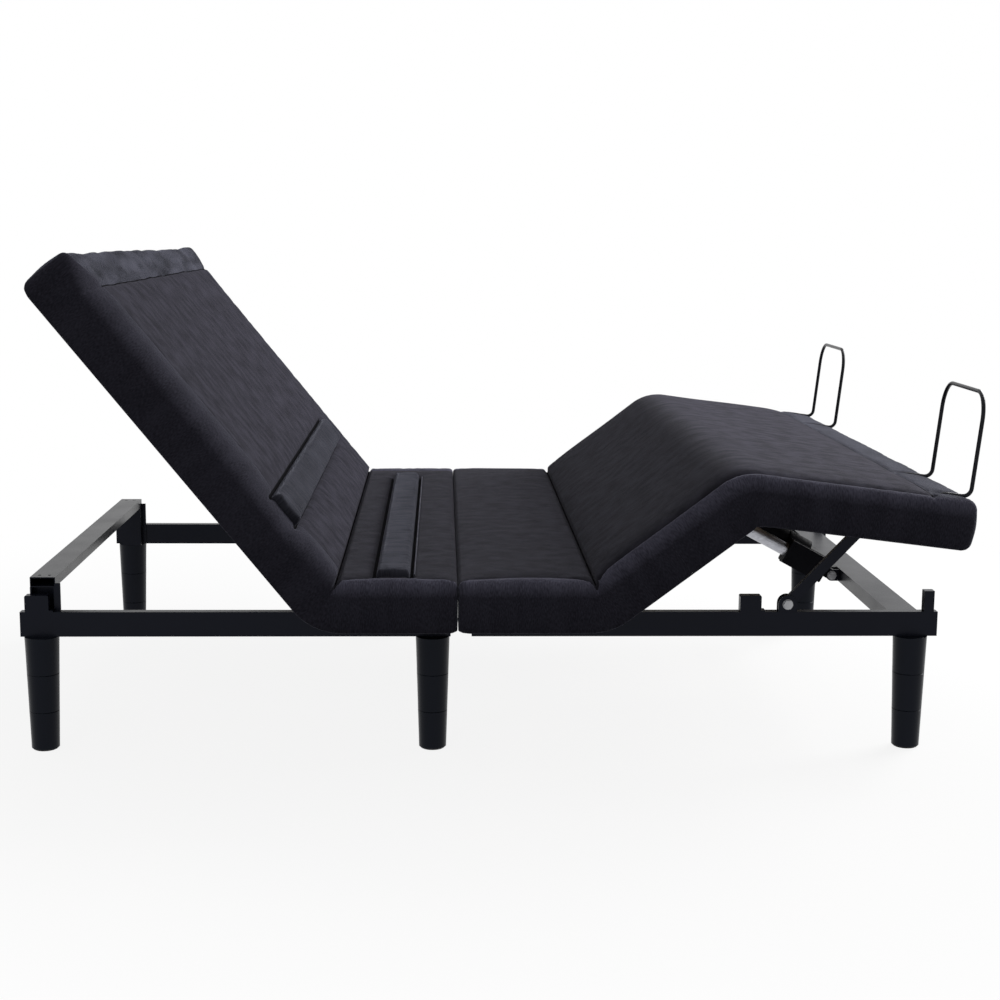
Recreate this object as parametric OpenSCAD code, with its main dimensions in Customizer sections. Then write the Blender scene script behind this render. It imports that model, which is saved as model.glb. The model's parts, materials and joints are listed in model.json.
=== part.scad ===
// Adjustable bed base: two bolted half frames on six screw-in legs carry an upholstered
// deck of five boards. The back section and the thigh and calf sections are raised by
// two linear actuators, and two struts hold the calf section level.
// Frame: +X towards the foot end, +Z up, floor at Z = 0, the bed's middle plane at Y = 0.

/* [Legs and base frame] */
// Height of one screw-together leg section
leg_section_h = 76.2; // [60:0.1:95]
// Leg diameter under the rail
leg_top_d = 68; // [62:1:76]
// Leg diameter at the floor
leg_foot_d = 55; // [48:1:60]
// Thickness of the felt and rubber glide
glide_t = 3.4; // [2:0.1:6]
// Height of the side rails
rail_h = 50; // [45:1:56]
// Width of the side rails
rail_w = 20; // [18:1:25]
// Wall of all steel tubes
tube_wall = 2; // [1.2:0.1:2.6]
// Distance from the middle plane to the middle of a rail
rail_y = 502; // [480:1:520]
// Reach of the rails from the middle of the bed towards the head
head_rail_reach = 865; // [840:1:900]
// How far the rails stop short of the deck at the foot end
foot_rail_short = 67; // [45:1:87]
// Gap between the two half frames
frame_gap = 42; // [30:1:50]
// Height of the raised crossbar's top above the rails
headbar_rise = 66; // [55:1:66]
// Width of the raised crossbar
headbar_w = 50; // [40:1:60]
// Height of the raised crossbar
headbar_h = 20; // [18:1:30]
// Width of the foot crossbar
footbar_w = 60; // [45:1:70]
// Height of the foot crossbar
footbar_h = 30; // [25:1:40]

/* [Deck] */
// Width over the upholstery
deck_w = 1511; // [1450:1:1560]
// Steel between the rail tops and the deck boards
bearer_h = 68; // [68:0.5:72]
// Square tube under the boards
sub_tube = 25; // [20:1:28]
// Thickness of the boards
board_t = 16; // [12:1:18]
// Foam and cover on top of the boards
foam_t = 26; // [20:1:32]
// Thickness of the padded side rails
skirt_t = 30; // [20:1:36]
// Height of the upholstered sides
skirt_h = 98; // [96:1:108]
// Length of the back section from its hinge
back_len = 764; // [740:1:790]
// Fixed section on the head side of the middle
seat_head_len = 240; // [230:1:260]
// Fixed section on the foot side of the middle
seat_foot_len = 265; // [258:1:280]
// Length of the thigh section between its hinges
thigh_len = 334; // [325:1:345]
// Length of the calf section from its hinge
calf_len = 438; // [415:1:445]
// Gap between the two deck halves
half_gap = 3; // [2:0.5:8]
// Radius of the padded top edges
edge_r = 18; // [8:1:20]

/* [Pose as made] */
// Back section above the horizontal
back_angle = 51; // [46:0.5:54]
// Thigh section above the horizontal
thigh_angle = 37; // [35:0.5:39]
// Calf section below the horizontal
calf_drop = 7; // [5:0.5:8]
// Largest back angle
back_max = 60; // [58:1:62]
// Largest thigh angle
thigh_max = 42; // [41:1:44]
// Largest fold between thigh and calf
fold_max = 51; // [50:1:54]

/* [Hinges and struts] */
// Diameter of the hinge barrels
barrel_d = 14; // [12:1:15]
// Diameter of the hinge pins
hinge_pin_d = 6; // [5:0.5:8]
// Length of one hinge along its pin
hinge_len = 70; // [55:1:90]
// Running clearance round a pin
run_fit = 0.1; // [0.06:0.01:0.2]
// Side clearance between parts that turn
side_fit = 0.5; // [0.3:0.1:1]
// Pivot of the calf strut past the knee, with the deck flat
strut_past = 66; // [56:1:76]
// Pivot of the calf strut above the rail
strut_rise = 15; // [14:0.5:18]
// Length of the calf strut between its pivots
strut_len = 246; // [240:1:250]
// Slope of the calf strut as made
strut_angle = 46.75; // [46:0.25:47.5]
// Depth of the strut's square side
strut_w = 21; // [20:1:26]
// Thickness of the strut across the bed
strut_t = 12; // [10:1:13]
// Diameter of the strut bolts
strut_bolt_d = 10; // [8:1:12]
// Clearance round the calf-side strut bolt
strut_free = 2.2; // [1.8:0.1:2.6]

/* [Actuators] */
// Foot actuator from the middle plane
foot_act_y = -60; // [-90:1:-40]
// Foot actuator's tail pin ahead of the foot crossbar
foot_tail_ahead = 17; // [14:1:24]
// Foot actuator's rod pin along the thigh section
foot_rod_x = 235; // [228:1:240]
// Foot actuator's rod pin below the thigh hinge line
foot_rod_z = 32; // [31:0.5:36]
// Head actuator from the middle plane
head_act_y = 0; // [-20:1:60]
// Head actuator's tail pin, from the middle of the bed
head_tail_x = 230; // [222:1:236]
// Head actuator's tail pin above the rail tops
head_tail_rise = 23; // [20:0.5:26]
// Head actuator's rod pin on the foot side of the back hinge
head_rod_x = 75; // [70:1:80]
// Head actuator's rod pin below the back hinge line
head_rod_z = 60; // [56:1:64]
// Diameter of the actuator pins
act_pin_d = 10; // [8:1:12]
// Diameter of the actuator rods
rod_d = 20; // [16:1:20]
// Outer diameter of the actuator tubes
guide_d = 30; // [28:1:34]
// Diameter of the motors
motor_d = 46; // [40:1:50]
// Foot actuator's rod outside its tube, in the pose as made
foot_rod_out = 135; // [125:1:150]
// Head actuator's rod outside its tube, in the pose as made
head_rod_out = 171; // [160:1:180]
// Width between the ears of the actuator brackets
ear_gap = 26; // [24:1:32]
// Thickness of bracket plates
plate_t = 4; // [3:0.5:5]

/* [Mattress retainers] */
// Diameter of the retainer wire
wire_d = 8; // [6:0.5:10]
// Width of a retainer loop
loop_w = 258; // [220:1:300]
// Height of a retainer loop above the deck
loop_h = 197; // [150:1:210]
// Middle of a retainer loop from the deck's edge
loop_in = 195.5; // [175:0.5:235]
// Slope of a retainer loop away from the calf section's normal
loop_lean = -1; // [-5:1:10]

/* [Hidden] */
$fn = 64;
// Heights of the frame and of the hinge axes
rail_low = 3 * leg_section_h + glide_t;
rail_top = rail_low + rail_h;
axis_z = rail_top + bearer_h + board_t / 2;
headbar_top = rail_top + headbar_rise;
// Section heights, measured from a hinge axis at the middle of the boards
pad_top = foam_t + board_t / 2;
board_up = board_t / 2;
skirt_low = pad_top - skirt_h;
sub_low = -board_up - sub_tube;
// Places along the bed, measured from the middle where the two halves meet
foot_rail_reach = seat_foot_len + thigh_len + calf_len - foot_rail_short;
head_frame_end = -12;
foot_frame_start = head_frame_end + frame_gap;
hip_x = -seat_head_len;
crease_x = seat_foot_len;
headbar_x = -head_rail_reach + 17;
footbar_x = foot_rail_reach - 98;
leg_x = [-head_rail_reach + 40, head_frame_end - 36, foot_rail_reach - 52];
rail_in = rail_y - rail_w / 2;
strut_x = crease_x + thigh_len + strut_past;
foot_tail_x = footbar_x - foot_tail_ahead;
// Leg studs and glides, bolts between the half frames, and their end plates
stud_d = 10;
stud_len = 40;
glide_r = leg_foot_d / 2 - 3;
join_d = 8;
join_z = rail_low + 32;
end_plate = 4;
// Bracket holes in the raised crossbar
bar_hole_r = 3.5;
bar_hole_y = 470;
bar_hole_pitch = 20;
// Low crossbars between the rails
low_bar_w = 50;
low_bar_h = 25;
low_bar_x = [head_frame_end - 8 - low_bar_w, foot_frame_start + 8];
act_bar_w = 40;
post_t = 3;
post_d = 25;
stub_w = 20;
stub_x = foot_rail_reach - 28;
// Gaps: section ends beside the hinge barrels, welds, and resting faces of moving parts
end_gap = barrel_d / 2 + 3;
fold_fit = 0.6;
weld_gap = 0.3;
rest_gap = 0.5;
leaf_t = 3;
leaf_len = 24;
knuckles = 5;
step = hinge_len / knuckles;
hinge_y = [-600, -230, 230, 600];
// Rest brackets, and the side tubes that come down on them
knee_rest_h = 33;
rest_wall = 3;
side_tube_h = bearer_h - knee_rest_h - rest_gap;
side_w = rail_w - 2;
side_low = -board_up - side_tube_h;
cross_reach = rail_y - side_w / 2 - weld_gap;
seat_tube_reach = deck_w / 2 - skirt_t - 10;
// Cross tubes of the back frame; the first carries the lift arms
arm_tube_x = -60;
back_tube_x = [arm_tube_x, -back_len * 0.43, -back_len * 0.69];
side_tube_in = 152;
// Tubes under the calf board
calf_side_y = rail_y - 37;
foot_tube_x = stub_x - 2 - crease_x - thigh_len;
// Corners of the padding: deck ends, centre joint in plan, and its lower edges
plan_r = 28;
joint_r = 12;
drop_r = 16;
board_in = skirt_t + weld_gap;
// Raised strips: [lowest x, width] from the middle and from the back hinge
strip_h = 9;
strip_y0 = 55.5 - deck_w / 2;
strip_y1 = deck_w / 2 - 175.5;
seat_strip_place = [-155, 67];
back_strip_place = [-211, 72];
// Tubes under the seat boards; the outer two carry the dropped hinge leaves
seat_tube_x = [
  hip_x + end_gap + leaf_t, head_frame_end - 30, foot_frame_start,
  crease_x - end_gap - leaf_t - sub_tube
];
// Half angles of the mitred section ends
hip_half = back_max / 2;
crease_half = thigh_max / 2;
knee_half = fold_max / 2;
// Pose as made
fold_rest = thigh_angle + calf_drop;
knee_x = crease_x + thigh_len * cos(thigh_angle);
knee_z = axis_z + thigh_len * sin(thigh_angle);
// Bracket ears at both ends of a strut, and how much its bolts hold
ear_r = 18.5;
top_ear_r = 16;
ear_t = 3;
strut_gap = strut_t / 2 + side_fit;
strut_grip = 2 * (strut_gap + ear_t);
// Calf-side strut pivot, from the knee hinge in the calf section's own directions
strut_z = rail_top + strut_rise;
strut_dx = strut_x + strut_len * cos(strut_angle) - knee_x;
strut_dz = strut_z + strut_len * sin(strut_angle) - knee_z;
calf_pin_x = strut_dx * cos(calf_drop) - strut_dz * sin(calf_drop);
calf_pin_z = strut_dx * sin(calf_drop) + strut_dz * cos(calf_drop);
// Actuators: tail pins, rod pins in the pose as made, lengths and slopes
foot_tail_z = rail_top - footbar_h / 2;
foot_pin_x = crease_x + foot_rod_x * cos(thigh_angle) + foot_rod_z * sin(thigh_angle);
foot_pin_z = axis_z + foot_rod_x * sin(thigh_angle) - foot_rod_z * cos(thigh_angle);
foot_act_len = norm([foot_tail_x - foot_pin_x, foot_pin_z - foot_tail_z]);
foot_act_tilt = atan2(foot_pin_z - foot_tail_z, foot_tail_x - foot_pin_x);
head_tail_z = rail_top + head_tail_rise;
head_pin_x = hip_x + head_rod_x * cos(back_angle) - head_rod_z * sin(back_angle);
head_pin_z = axis_z - head_rod_x * sin(back_angle) - head_rod_z * cos(back_angle);
head_act_len = norm([head_tail_x - head_pin_x, head_pin_z - head_tail_z]);
head_act_tilt = atan2(head_pin_z - head_tail_z, head_tail_x - head_pin_x);
// Slots that the rod pins slide in: [middle, length, width] from the nominal pin
slot_fit = 2;
thigh_slot = [-2.3, -0.3, 30 + act_pin_d + slot_fit, 7 + act_pin_d + slot_fit];
arm_slot = [-0.4, -0.5, 20 + act_pin_d + slot_fit, 10 + act_pin_d + slot_fit];
slot_rim = 8;
arm_rim = 4;
arm_t = 6;
eye_r = 12;
act_bar_x = head_tail_x - eye_r - 1;
eye_w = ear_gap - 2 * side_fit;
gear_start = 18;
gear_len = 100;
gear_h = 56;
gear_w = 44;
rod_len = 220;
motor_len = 97;
motor_y = gear_w / 2 + motor_d / 2 - 2;
foot_motor_z = 16;
head_motor_z = -2;
act_grip = ear_gap + 2 * plate_t;
// Electronics under the seat: [x0, x1, y0, y1, height]
control_case = [80, 190, 270, 430, 38];
supply_case = [-180, -60, 280, 350, 34];
plug_d = 10;
// Retainer loops: the wire leaves a slit, lies on the cover, rises and leans in at its shoulders
slit_x = calf_len - 66;
slit_w = wire_d + 1;
loop_y = deck_w / 2 - loop_in;
loop_foot_x = calf_len - 4;
wire_rise = pad_top + wire_d / 2 + 0.5;
bend_r = 16;
shoulder_w = 48;
shoulder_h = 52;
socket_h = 22;
loop_run = loop_h - bend_r - shoulder_h;
bend_steps = 6;
wire_sides = 16;
lean_dir = [sin(loop_lean), 0, cos(loop_lean)];
across_dir = [0, 1, 0];
// Middle of the whole object along X; the top bar of a loop reaches furthest
bar_x = loop_foot_x - bend_r * (1 - cos(loop_lean)) + (loop_run + shoulder_h) * sin(loop_lean);
bar_z = wire_rise + bend_r * (1 - sin(loop_lean)) + (loop_run + shoulder_h) * cos(loop_lean);
x_high = knee_x + bar_x * cos(calf_drop) + bar_z * sin(calf_drop) + wire_d / 2;
mid_x = (x_high - head_rail_reach) / 2;
steel = [0.16, 0.16, 0.17];
fabric = [0.13, 0.13, 0.16];

// ---- Placing ----
// Base frame: X from the middle of the bed
module on_base() translate([-mid_x, 0, 0]) children();
// Sections: origin on the hinge, +Z out of the boards
module on_back() on_base() translate([hip_x, 0, axis_z]) rotate([0, back_angle, 0]) children();
module on_thigh() on_base() translate([crease_x, 0, axis_z]) rotate([0, -thigh_angle, 0]) children();
module on_calf() on_thigh() translate([thigh_len, 0, 0]) rotate([0, fold_rest, 0]) children();
// Seat boards, hinge line height, X from the middle of the bed
module on_seat() on_base() translate([0, 0, axis_z]) children();
// Actuators point from the tail pin towards the head end
module on_foot_act()
  on_base() translate([foot_tail_x, foot_act_y, foot_tail_z]) rotate([0, foot_act_tilt, 0]) children();
module on_head_act()
  on_base() translate([head_tail_x, head_act_y, head_tail_z]) rotate([0, head_act_tilt, 0]) children();
module both_sides() { children(); mirror([0, 1, 0]) children(); }

// ---- Shapes ----
module block(x0, x1, y0, y1, z0, z1) translate([x0, y0, z0]) cube([x1 - x0, y1 - y0, z1 - z0]);
// Extrude a side view (X, Z) across the bed from y0 to y1
module across(y0, y1) translate([0, y1, 0]) rotate([90, 0, 0]) linear_extrude(y1 - y0) children();
module bore_y(x, y, z, r, l) translate([x, y, z]) rotate([90, 0, 0]) cylinder(r = r, h = l, center = true);
// Rectangular tubes with open ends
module tube_x(x0, x1, y0, y1, z0, z1) difference() {
  block(x0, x1, y0, y1, z0, z1);
  block(x0 - 1, x1 + 1, y0 + tube_wall, y1 - tube_wall, z0 + tube_wall, z1 - tube_wall);
}
module tube_y(x0, x1, y0, y1, z0, z1) difference() {
  block(x0, x1, y0, y1, z0, z1);
  block(x0 + tube_wall, x1 - tube_wall, y0 - 1, y1 + 1, z0 + tube_wall, z1 - tube_wall);
}
// Rectangle with rounded upper corners
module round_top(x0, x1, z0, z1, r) difference() {
  translate([x0, z0]) square([x1 - x0, z1 - z0]);
  translate([x0, z1]) corner_cut(1, -1, r);
  translate([x1, z1]) corner_cut(-1, -1, r);
}
// Rectangle in plan with all corners rounded
module round_plan(x0, x1, w, r) difference() {
  translate([x0, -w / 2]) square([x1 - x0, w]);
  for (s = [-1, 1]) {
    translate([x0, s * w / 2]) corner_cut(1, -s, r);
    translate([x1, s * w / 2]) corner_cut(-1, -s, r);
  }
}
// What a rounded corner takes away; dx and dy point from the corner into the shape
module corner_cut(dx, dy, r) difference() {
  translate([dx > 0 ? -1 : -r, dy > 0 ? -1 : -r]) square(r + 1);
  translate([dx * r, dy * r]) circle(r);
}
// Hexagon head or nut, axis along X
module hex_x(af, h) rotate([0, 90, 0]) cylinder(d = af / cos(30), h = h, $fn = 6);
module hex_y(af, h) rotate([-90, 0, 0]) cylinder(d = af / cos(30), h = h, $fn = 6);

// ---- Legs ----
// One tapered section, tier 0 at the top, with a chamfer at each joint
module leg_section(tier) {
  r_top = leg_top_d / 2 - (leg_top_d - leg_foot_d) / 6 * tier;
  r_low = leg_top_d / 2 - (leg_top_d - leg_foot_d) / 6 * (tier + 1);
  z1 = rail_low - tier * leg_section_h;
  z0 = z1 - leg_section_h;
  bite = 0.7;
  stud_bore = stud_d / 2 + run_fit;
  for (x = leg_x, s = [-1, 1]) translate([x, s * rail_y, 0]) difference() {
    rotate_extrude() polygon([
      [0, z0], [r_low - bite, z0], [r_low, z0 + bite], [r_top, z1 - bite], [r_top - bite, z1], [0, z1]
    ]);
    translate([0, 0, z1 - stud_len / 2 - 2]) cylinder(r = stud_bore, h = stud_len);
    if (tier < 2) translate([0, 0, z0 - 1]) cylinder(r = stud_bore, h = stud_len / 2 + 3);
  }
}
module leg_upper_sections() color(steel) on_base() leg_section(0);
module leg_middle_sections() color(steel) on_base() leg_section(1);
module leg_lower_sections() color(steel) on_base() leg_section(2);
module leg_glides() color("dimgray") on_base()
  for (x = leg_x, s = [-1, 1]) translate([x, s * rail_y, 0]) rotate_extrude()
    polygon([[0, 0], [glide_r - 2, 0], [glide_r, glide_t / 3], [glide_r, glide_t], [0, glide_t]]);

// ---- Base frame ----
module rail(x0, x1, legs) both_sides() difference() {
  union() {
    tube_x(x0, x1, rail_in, rail_in + rail_w, rail_low, rail_top);
    for (x = [x0, x1 - end_plate]) block(x, x + end_plate, rail_in, rail_in + rail_w, rail_low, rail_top);
  }
  for (x = legs) translate([x, rail_y, rail_low - 1]) cylinder(r = stud_d / 2 + run_fit, h = tube_wall + 2);
  translate([head_frame_end - 20, rail_y, join_z]) rotate([0, 90, 0])
    cylinder(r = join_d / 2 + run_fit, h = frame_gap + 40);
}
module head_rails() color(steel) on_base() rail(-head_rail_reach, head_frame_end, [leg_x[0], leg_x[1]]);
module foot_rails() color(steel) on_base() rail(foot_frame_start, foot_rail_reach, [leg_x[2]]);
// Raised crossbar with a pair of bracket holes near each end
module head_crossbar() color(steel) on_base() difference() {
  tube_y(headbar_x, headbar_x + headbar_w, 2 - rail_in, rail_in - 2, headbar_top - headbar_h, headbar_top);
  for (dx = [-1, 1], s = [-1, 1])
    translate([headbar_x + headbar_w / 2 + dx * bar_hole_pitch / 2, s * bar_hole_y, headbar_top - 5])
      cylinder(r = bar_hole_r, h = 10);
}
// Channel posts, open towards the rails, with a narrow flange on the foot side
module head_posts() color(steel) on_base() both_sides() {
  x1 = headbar_x + headbar_w;
  z1 = headbar_top - headbar_h;
  difference() {
    block(headbar_x, x1, rail_in - post_d, rail_in, rail_low, z1);
    block(headbar_x + post_t, x1 - post_t, rail_in - post_d + post_t, rail_in + 1, rail_low - 1, z1 + 1);
  }
  block(x1, x1 + 10, rail_in - post_t, rail_in, rail_low, z1 + headbar_h * 0.4);
}
module foot_crossbar() color(steel) on_base()
  tube_y(footbar_x, footbar_x + footbar_w, -rail_in, rail_in, rail_top - footbar_h, rail_top);
// Two crossbars beside the joint and one that carries the head actuator
module low_crossbars() color(steel) on_base() {
  for (x = low_bar_x) tube_y(x, x + low_bar_w, -rail_in, rail_in, rail_low, rail_low + low_bar_h);
  tube_y(act_bar_x, act_bar_x + act_bar_w, -rail_in, rail_in, rail_top - low_bar_h, rail_top);
}
// Bolts that join the half frames, and the studs of the legs
module frame_bolts() color("silver") on_base() {
  both_sides() translate([head_frame_end - end_plate, rail_y, join_z]) {
    rotate([0, 90, 0]) cylinder(d = join_d, h = frame_gap + 2 * end_plate);
    translate([-6, 0, 0]) hex_x(13, 6);
    translate([frame_gap + 2 * end_plate, 0, 0]) hex_x(13, 6.5);
  }
  for (x = leg_x, s = [-1, 1], t = [0, 1, 2])
    translate([x, s * rail_y, rail_low - t * leg_section_h - stud_len / 2])
      cylinder(d = stud_d, h = stud_len);
}
// Bent sheet brackets on the rails that the back and thigh side tubes come down on
module rest_bracket(x0, w) both_sides() {
  difference() {
    across(rail_in, rail_in + rail_w) round_top(x0, x0 + w, rail_top, rail_top + knee_rest_h, rest_wall);
    block(x0 + rest_wall, x0 + w - rest_wall, rail_in - 1, rail_in + rail_w - rest_wall,
      rail_top - 1, rail_top + knee_rest_h - rest_wall);
  }
  block(x0 + w, x0 + w + 8, rail_in, rail_in + rail_w, rail_top, rail_top + rest_wall);
}
module rest_brackets() color(steel) on_base() {
  rest_bracket(-head_rail_reach + 10, 47);
  rest_bracket(crease_x + thigh_len - 30, 43);
  foot_stub();
}
// Short upright tube with a closed top near the foot end
module foot_stub() both_sides() difference() {
  top = rail_top + bearer_h - sub_tube - rest_gap;
  block(stub_x, stub_x + stub_w, rail_in, rail_in + rail_w, rail_top, top);
  block(stub_x + tube_wall, stub_x + stub_w - tube_wall, rail_in + tube_wall, rail_in + rail_w - tube_wall,
    rail_top - 1, top - 3);
}

// ---- Calf struts ----
// Ear standing on a base line below its bolt
module ear(r, drop) difference() {
  union() { circle(r); translate([-r, -drop]) square([2 * r, drop]); }
  translate([-2 * r, -drop - 2 * r]) square([4 * r, 2 * r]);
}
module strut_brackets() color(steel) on_base() both_sides() difference() {
  for (s = [-1, 1]) {
    y = rail_y + s * (strut_gap + ear_t / 2);
    across(y - ear_t / 2, y + ear_t / 2) translate([strut_x, strut_z]) ear(ear_r, strut_rise);
  }
  bore_y(strut_x, rail_y, strut_z, strut_bolt_d / 2 + run_fit, 60);
}
// Bolt across a pair of ears, with a washer, head and nut outside them
module cross_bolt(d, grip) {
  rotate([90, 0, 0]) cylinder(d = d, h = grip + 14, center = true);
  for (s = [-1, 1]) translate([0, s > 0 ? grip / 2 : -grip / 2 - 1.5, 0])
    rotate([-90, 0, 0]) cylinder(d = 2.1 * d, h = 1.5);
  translate([0, grip / 2 + 1.5, 0]) hex_y(1.7 * d, 5.5);
  translate([0, -grip / 2 - 7, 0]) hex_y(1.7 * d, 5.5);
}
module pivot_bolts() color("silver") on_base() {
  for (s = [-1, 1]) translate([strut_x, s * rail_y, strut_z]) cross_bolt(strut_bolt_d, strut_grip);
  translate([foot_tail_x, foot_act_y, foot_tail_z]) cross_bolt(act_pin_d, act_grip);
  translate([head_tail_x, head_act_y, head_tail_z]) cross_bolt(act_pin_d, act_grip);
}
// Strut: flat tube with round ends and a bush at each pivot
module strut(s) color(steel) on_base() translate([strut_x, s * rail_y, strut_z])
  rotate([0, -strut_angle, 0]) difference() {
    union() {
      difference() {
        across(-strut_t / 2, strut_t / 2) strut_outline();
        block(-strut_w, strut_len + strut_w, tube_wall - strut_t / 2, strut_t / 2 - tube_wall,
          tube_wall - strut_w / 2, strut_w / 2 - tube_wall);
      }
      bore_y(0, 0, 0, strut_bolt_d / 2 + 4, strut_t);
      bore_y(strut_len, 0, 0, strut_bolt_d / 2 + strut_free + 3, strut_t);
    }
    bore_y(0, 0, 0, strut_bolt_d / 2 + run_fit, 60);
    bore_y(strut_len, 0, 0, strut_bolt_d / 2 + strut_free, 60);
  }
module strut_outline() {
  translate([0, -strut_w / 2]) square([strut_len, strut_w]);
  circle(d = strut_w);
  translate([strut_len, 0]) circle(d = strut_w);
}
module near_strut() strut(-1);
module far_strut() strut(1);
// Calf-side brackets under the board, with their bolts
module strut_top_brackets() color(steel) on_calf() both_sides() {
  difference() {
    union() {
      for (s = [-1, 1]) {
        y = rail_y + s * (strut_gap + ear_t / 2);
        across(y - ear_t / 2, y + ear_t / 2)
          translate([calf_pin_x, calf_pin_z]) mirror([0, 1]) ear(top_ear_r, -board_up - calf_pin_z);
      }
      block(calf_pin_x - top_ear_r - 8, calf_pin_x + top_ear_r + 8, rail_y - 20, rail_y + 20,
        -board_up - ear_t, -board_up);
    }
    bore_y(calf_pin_x, rail_y, calf_pin_z, strut_bolt_d / 2 + run_fit, 60);
  }
  translate([calf_pin_x, rail_y, calf_pin_z]) cross_bolt(strut_bolt_d, strut_grip);
}

// ---- Deck sections ----
// Ends beside a hinge: [distance from the axis, height] going up
function inner_end(half) = [
  [end_gap, skirt_low], [end_gap, (end_gap - fold_fit) / tan(half)],
  [pad_top * tan(half) + fold_fit, pad_top]
];
// The knee opens upwards, so there the pads reach over the barrels, as close as top_gap
function knee_end(top_gap) = [
  [-skirt_low * tan(knee_half) + fold_fit, skirt_low],
  [end_gap, (fold_fit - end_gap) / tan(knee_half)], [end_gap, board_up], [top_gap, board_up + rest_gap],
  [top_gap, pad_top]
];
function flipped(p) = [for (i = [len(p) - 1:-1:0]) [-p[i][0], p[i][1]]];
function moved(p, dx) = [for (q = p) [q[0] + dx, q[1]]];
// Side views of the sections
module back_side() difference() {
  polygon(concat(flipped(inner_end(hip_half)), [[-back_len, skirt_low], [-back_len, pad_top]]));
  translate([-back_len, pad_top]) corner_cut(1, -1, edge_r);
}
module seat_head_side() difference() {
  polygon(concat([[-half_gap / 2, pad_top], [-half_gap / 2, skirt_low]],
    moved(inner_end(hip_half), hip_x)));
  translate([-half_gap / 2, skirt_low]) corner_cut(-1, 1, drop_r);
}
module seat_foot_side() difference() {
  polygon(concat([[half_gap / 2, pad_top], [half_gap / 2, skirt_low]],
    moved([for (p = inner_end(crease_half)) [-p[0], p[1]]], crease_x)));
  translate([half_gap / 2, skirt_low]) corner_cut(1, 1, drop_r);
}
module thigh_side(top_gap)
  polygon(concat(inner_end(crease_half), moved(flipped(knee_end(top_gap)), thigh_len)));
module calf_side(top_gap) difference() {
  polygon(concat(knee_end(top_gap), [[calf_len, pad_top], [calf_len, skirt_low]]));
  translate([calf_len, pad_top]) corner_cut(-1, -1, edge_r);
}
// Padded top: rounded along both sides
module pad(x0, x1, r_plan) intersection() {
  across(-deck_w, deck_w) children();
  translate([0, 0, board_up]) linear_extrude(foam_t) round_plan(x0, x1, deck_w, r_plan);
  translate([x0 - 1, 0, 0]) rotate([90, 0, 90]) linear_extrude(x1 - x0 + 2)
    round_top(-deck_w / 2, deck_w / 2, 0, pad_top, edge_r);
}
// Padded side rails, and a rail across a free end at x_end
module skirts(x0, x1, r_plan, x_end) intersection() {
  across(-deck_w, deck_w) children();
  translate([0, 0, skirt_low]) linear_extrude(board_up - skirt_low) round_plan(x0, x1, deck_w, r_plan);
  union() {
    a = x_end < 0 ? x_end + skirt_t + weld_gap : x0;
    b = x_end > 0 ? x_end - skirt_t - weld_gap : x1;
    both_sides() block(a, b, deck_w / 2 - skirt_t, deck_w / 2, skirt_low, board_up);
    if (x_end != 0)
      block(x_end > 0 ? x_end - skirt_t : x_end, x_end > 0 ? x_end : x_end + skirt_t,
        -deck_w / 2, deck_w / 2, skirt_low, board_up);
  }
}
module board(x0, x1)
  block(x0, x1, board_in - deck_w / 2, deck_w / 2 - board_in, -board_up, board_up);
module back_pad() color(fabric) on_back() pad(-back_len, plan_r, plan_r) back_side();
module back_skirts() color(fabric) on_back() skirts(-back_len, plan_r, plan_r, -back_len) back_side();
module back_board() color("burlywood") on_back() board(board_in - back_len, -end_gap);
module seat_head_pad() color(fabric) on_seat()
  pad(hip_x - joint_r, -half_gap / 2, joint_r) seat_head_side();
module seat_foot_pad() color(fabric) on_seat()
  pad(half_gap / 2, crease_x + joint_r, joint_r) seat_foot_side();
module seat_skirts() color(fabric) on_seat() {
  skirts(hip_x - joint_r, -half_gap / 2, joint_r, 0) seat_head_side();
  skirts(half_gap / 2, crease_x + joint_r, joint_r, 0) seat_foot_side();
}
module seat_head_board() color("burlywood") on_seat() board(hip_x + end_gap, -half_gap / 2);
module seat_foot_board() color("burlywood") on_seat() board(half_gap / 2, crease_x - end_gap);
module thigh_pad() color(fabric) on_thigh() pad(-2, thigh_len + 2, 2) thigh_side(fold_fit);
module thigh_skirts() color(fabric) on_thigh() skirts(-2, thigh_len + 2, 2, 0) thigh_side(end_gap);
module thigh_board() color("burlywood") on_thigh() board(end_gap, thigh_len - end_gap);
// Holes for the wires in the board, and slits in the pad where they bend over
module loop_holes(slit_len, z0, z1) for (s = [-1, 1], d = [-1, 1])
  translate([slit_x + (slit_len - slit_w) / 2, s * loop_y + d * loop_w / 2, z0]) linear_extrude(z1 - z0)
    slot([0, 0, slit_len, slit_w]);
module calf_pad() color(fabric) on_calf() difference() {
  pad(-plan_r, calf_len, plan_r) calf_side(fold_fit);
  loop_holes(slit_w + 0.6 * bend_r, board_up - 1, pad_top + 1);
}
module calf_skirts() color(fabric) on_calf() skirts(-plan_r, calf_len, plan_r, calf_len) calf_side(end_gap);
module calf_board() color("burlywood") on_calf() difference() {
  board(end_gap, calf_len - board_in);
  loop_holes(slit_w + 0.01, -board_up - 1, board_up + 1);
}
// Raised padded strips across the seat and the back
module strip(p) across(strip_y0, strip_y1) round_top(p[0], p[0] + p[1], pad_top, pad_top + strip_h, 7);
module seat_strip() color(fabric) on_seat() strip(seat_strip_place);
module back_strip() color(fabric) on_back() strip(back_strip_place);

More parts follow.
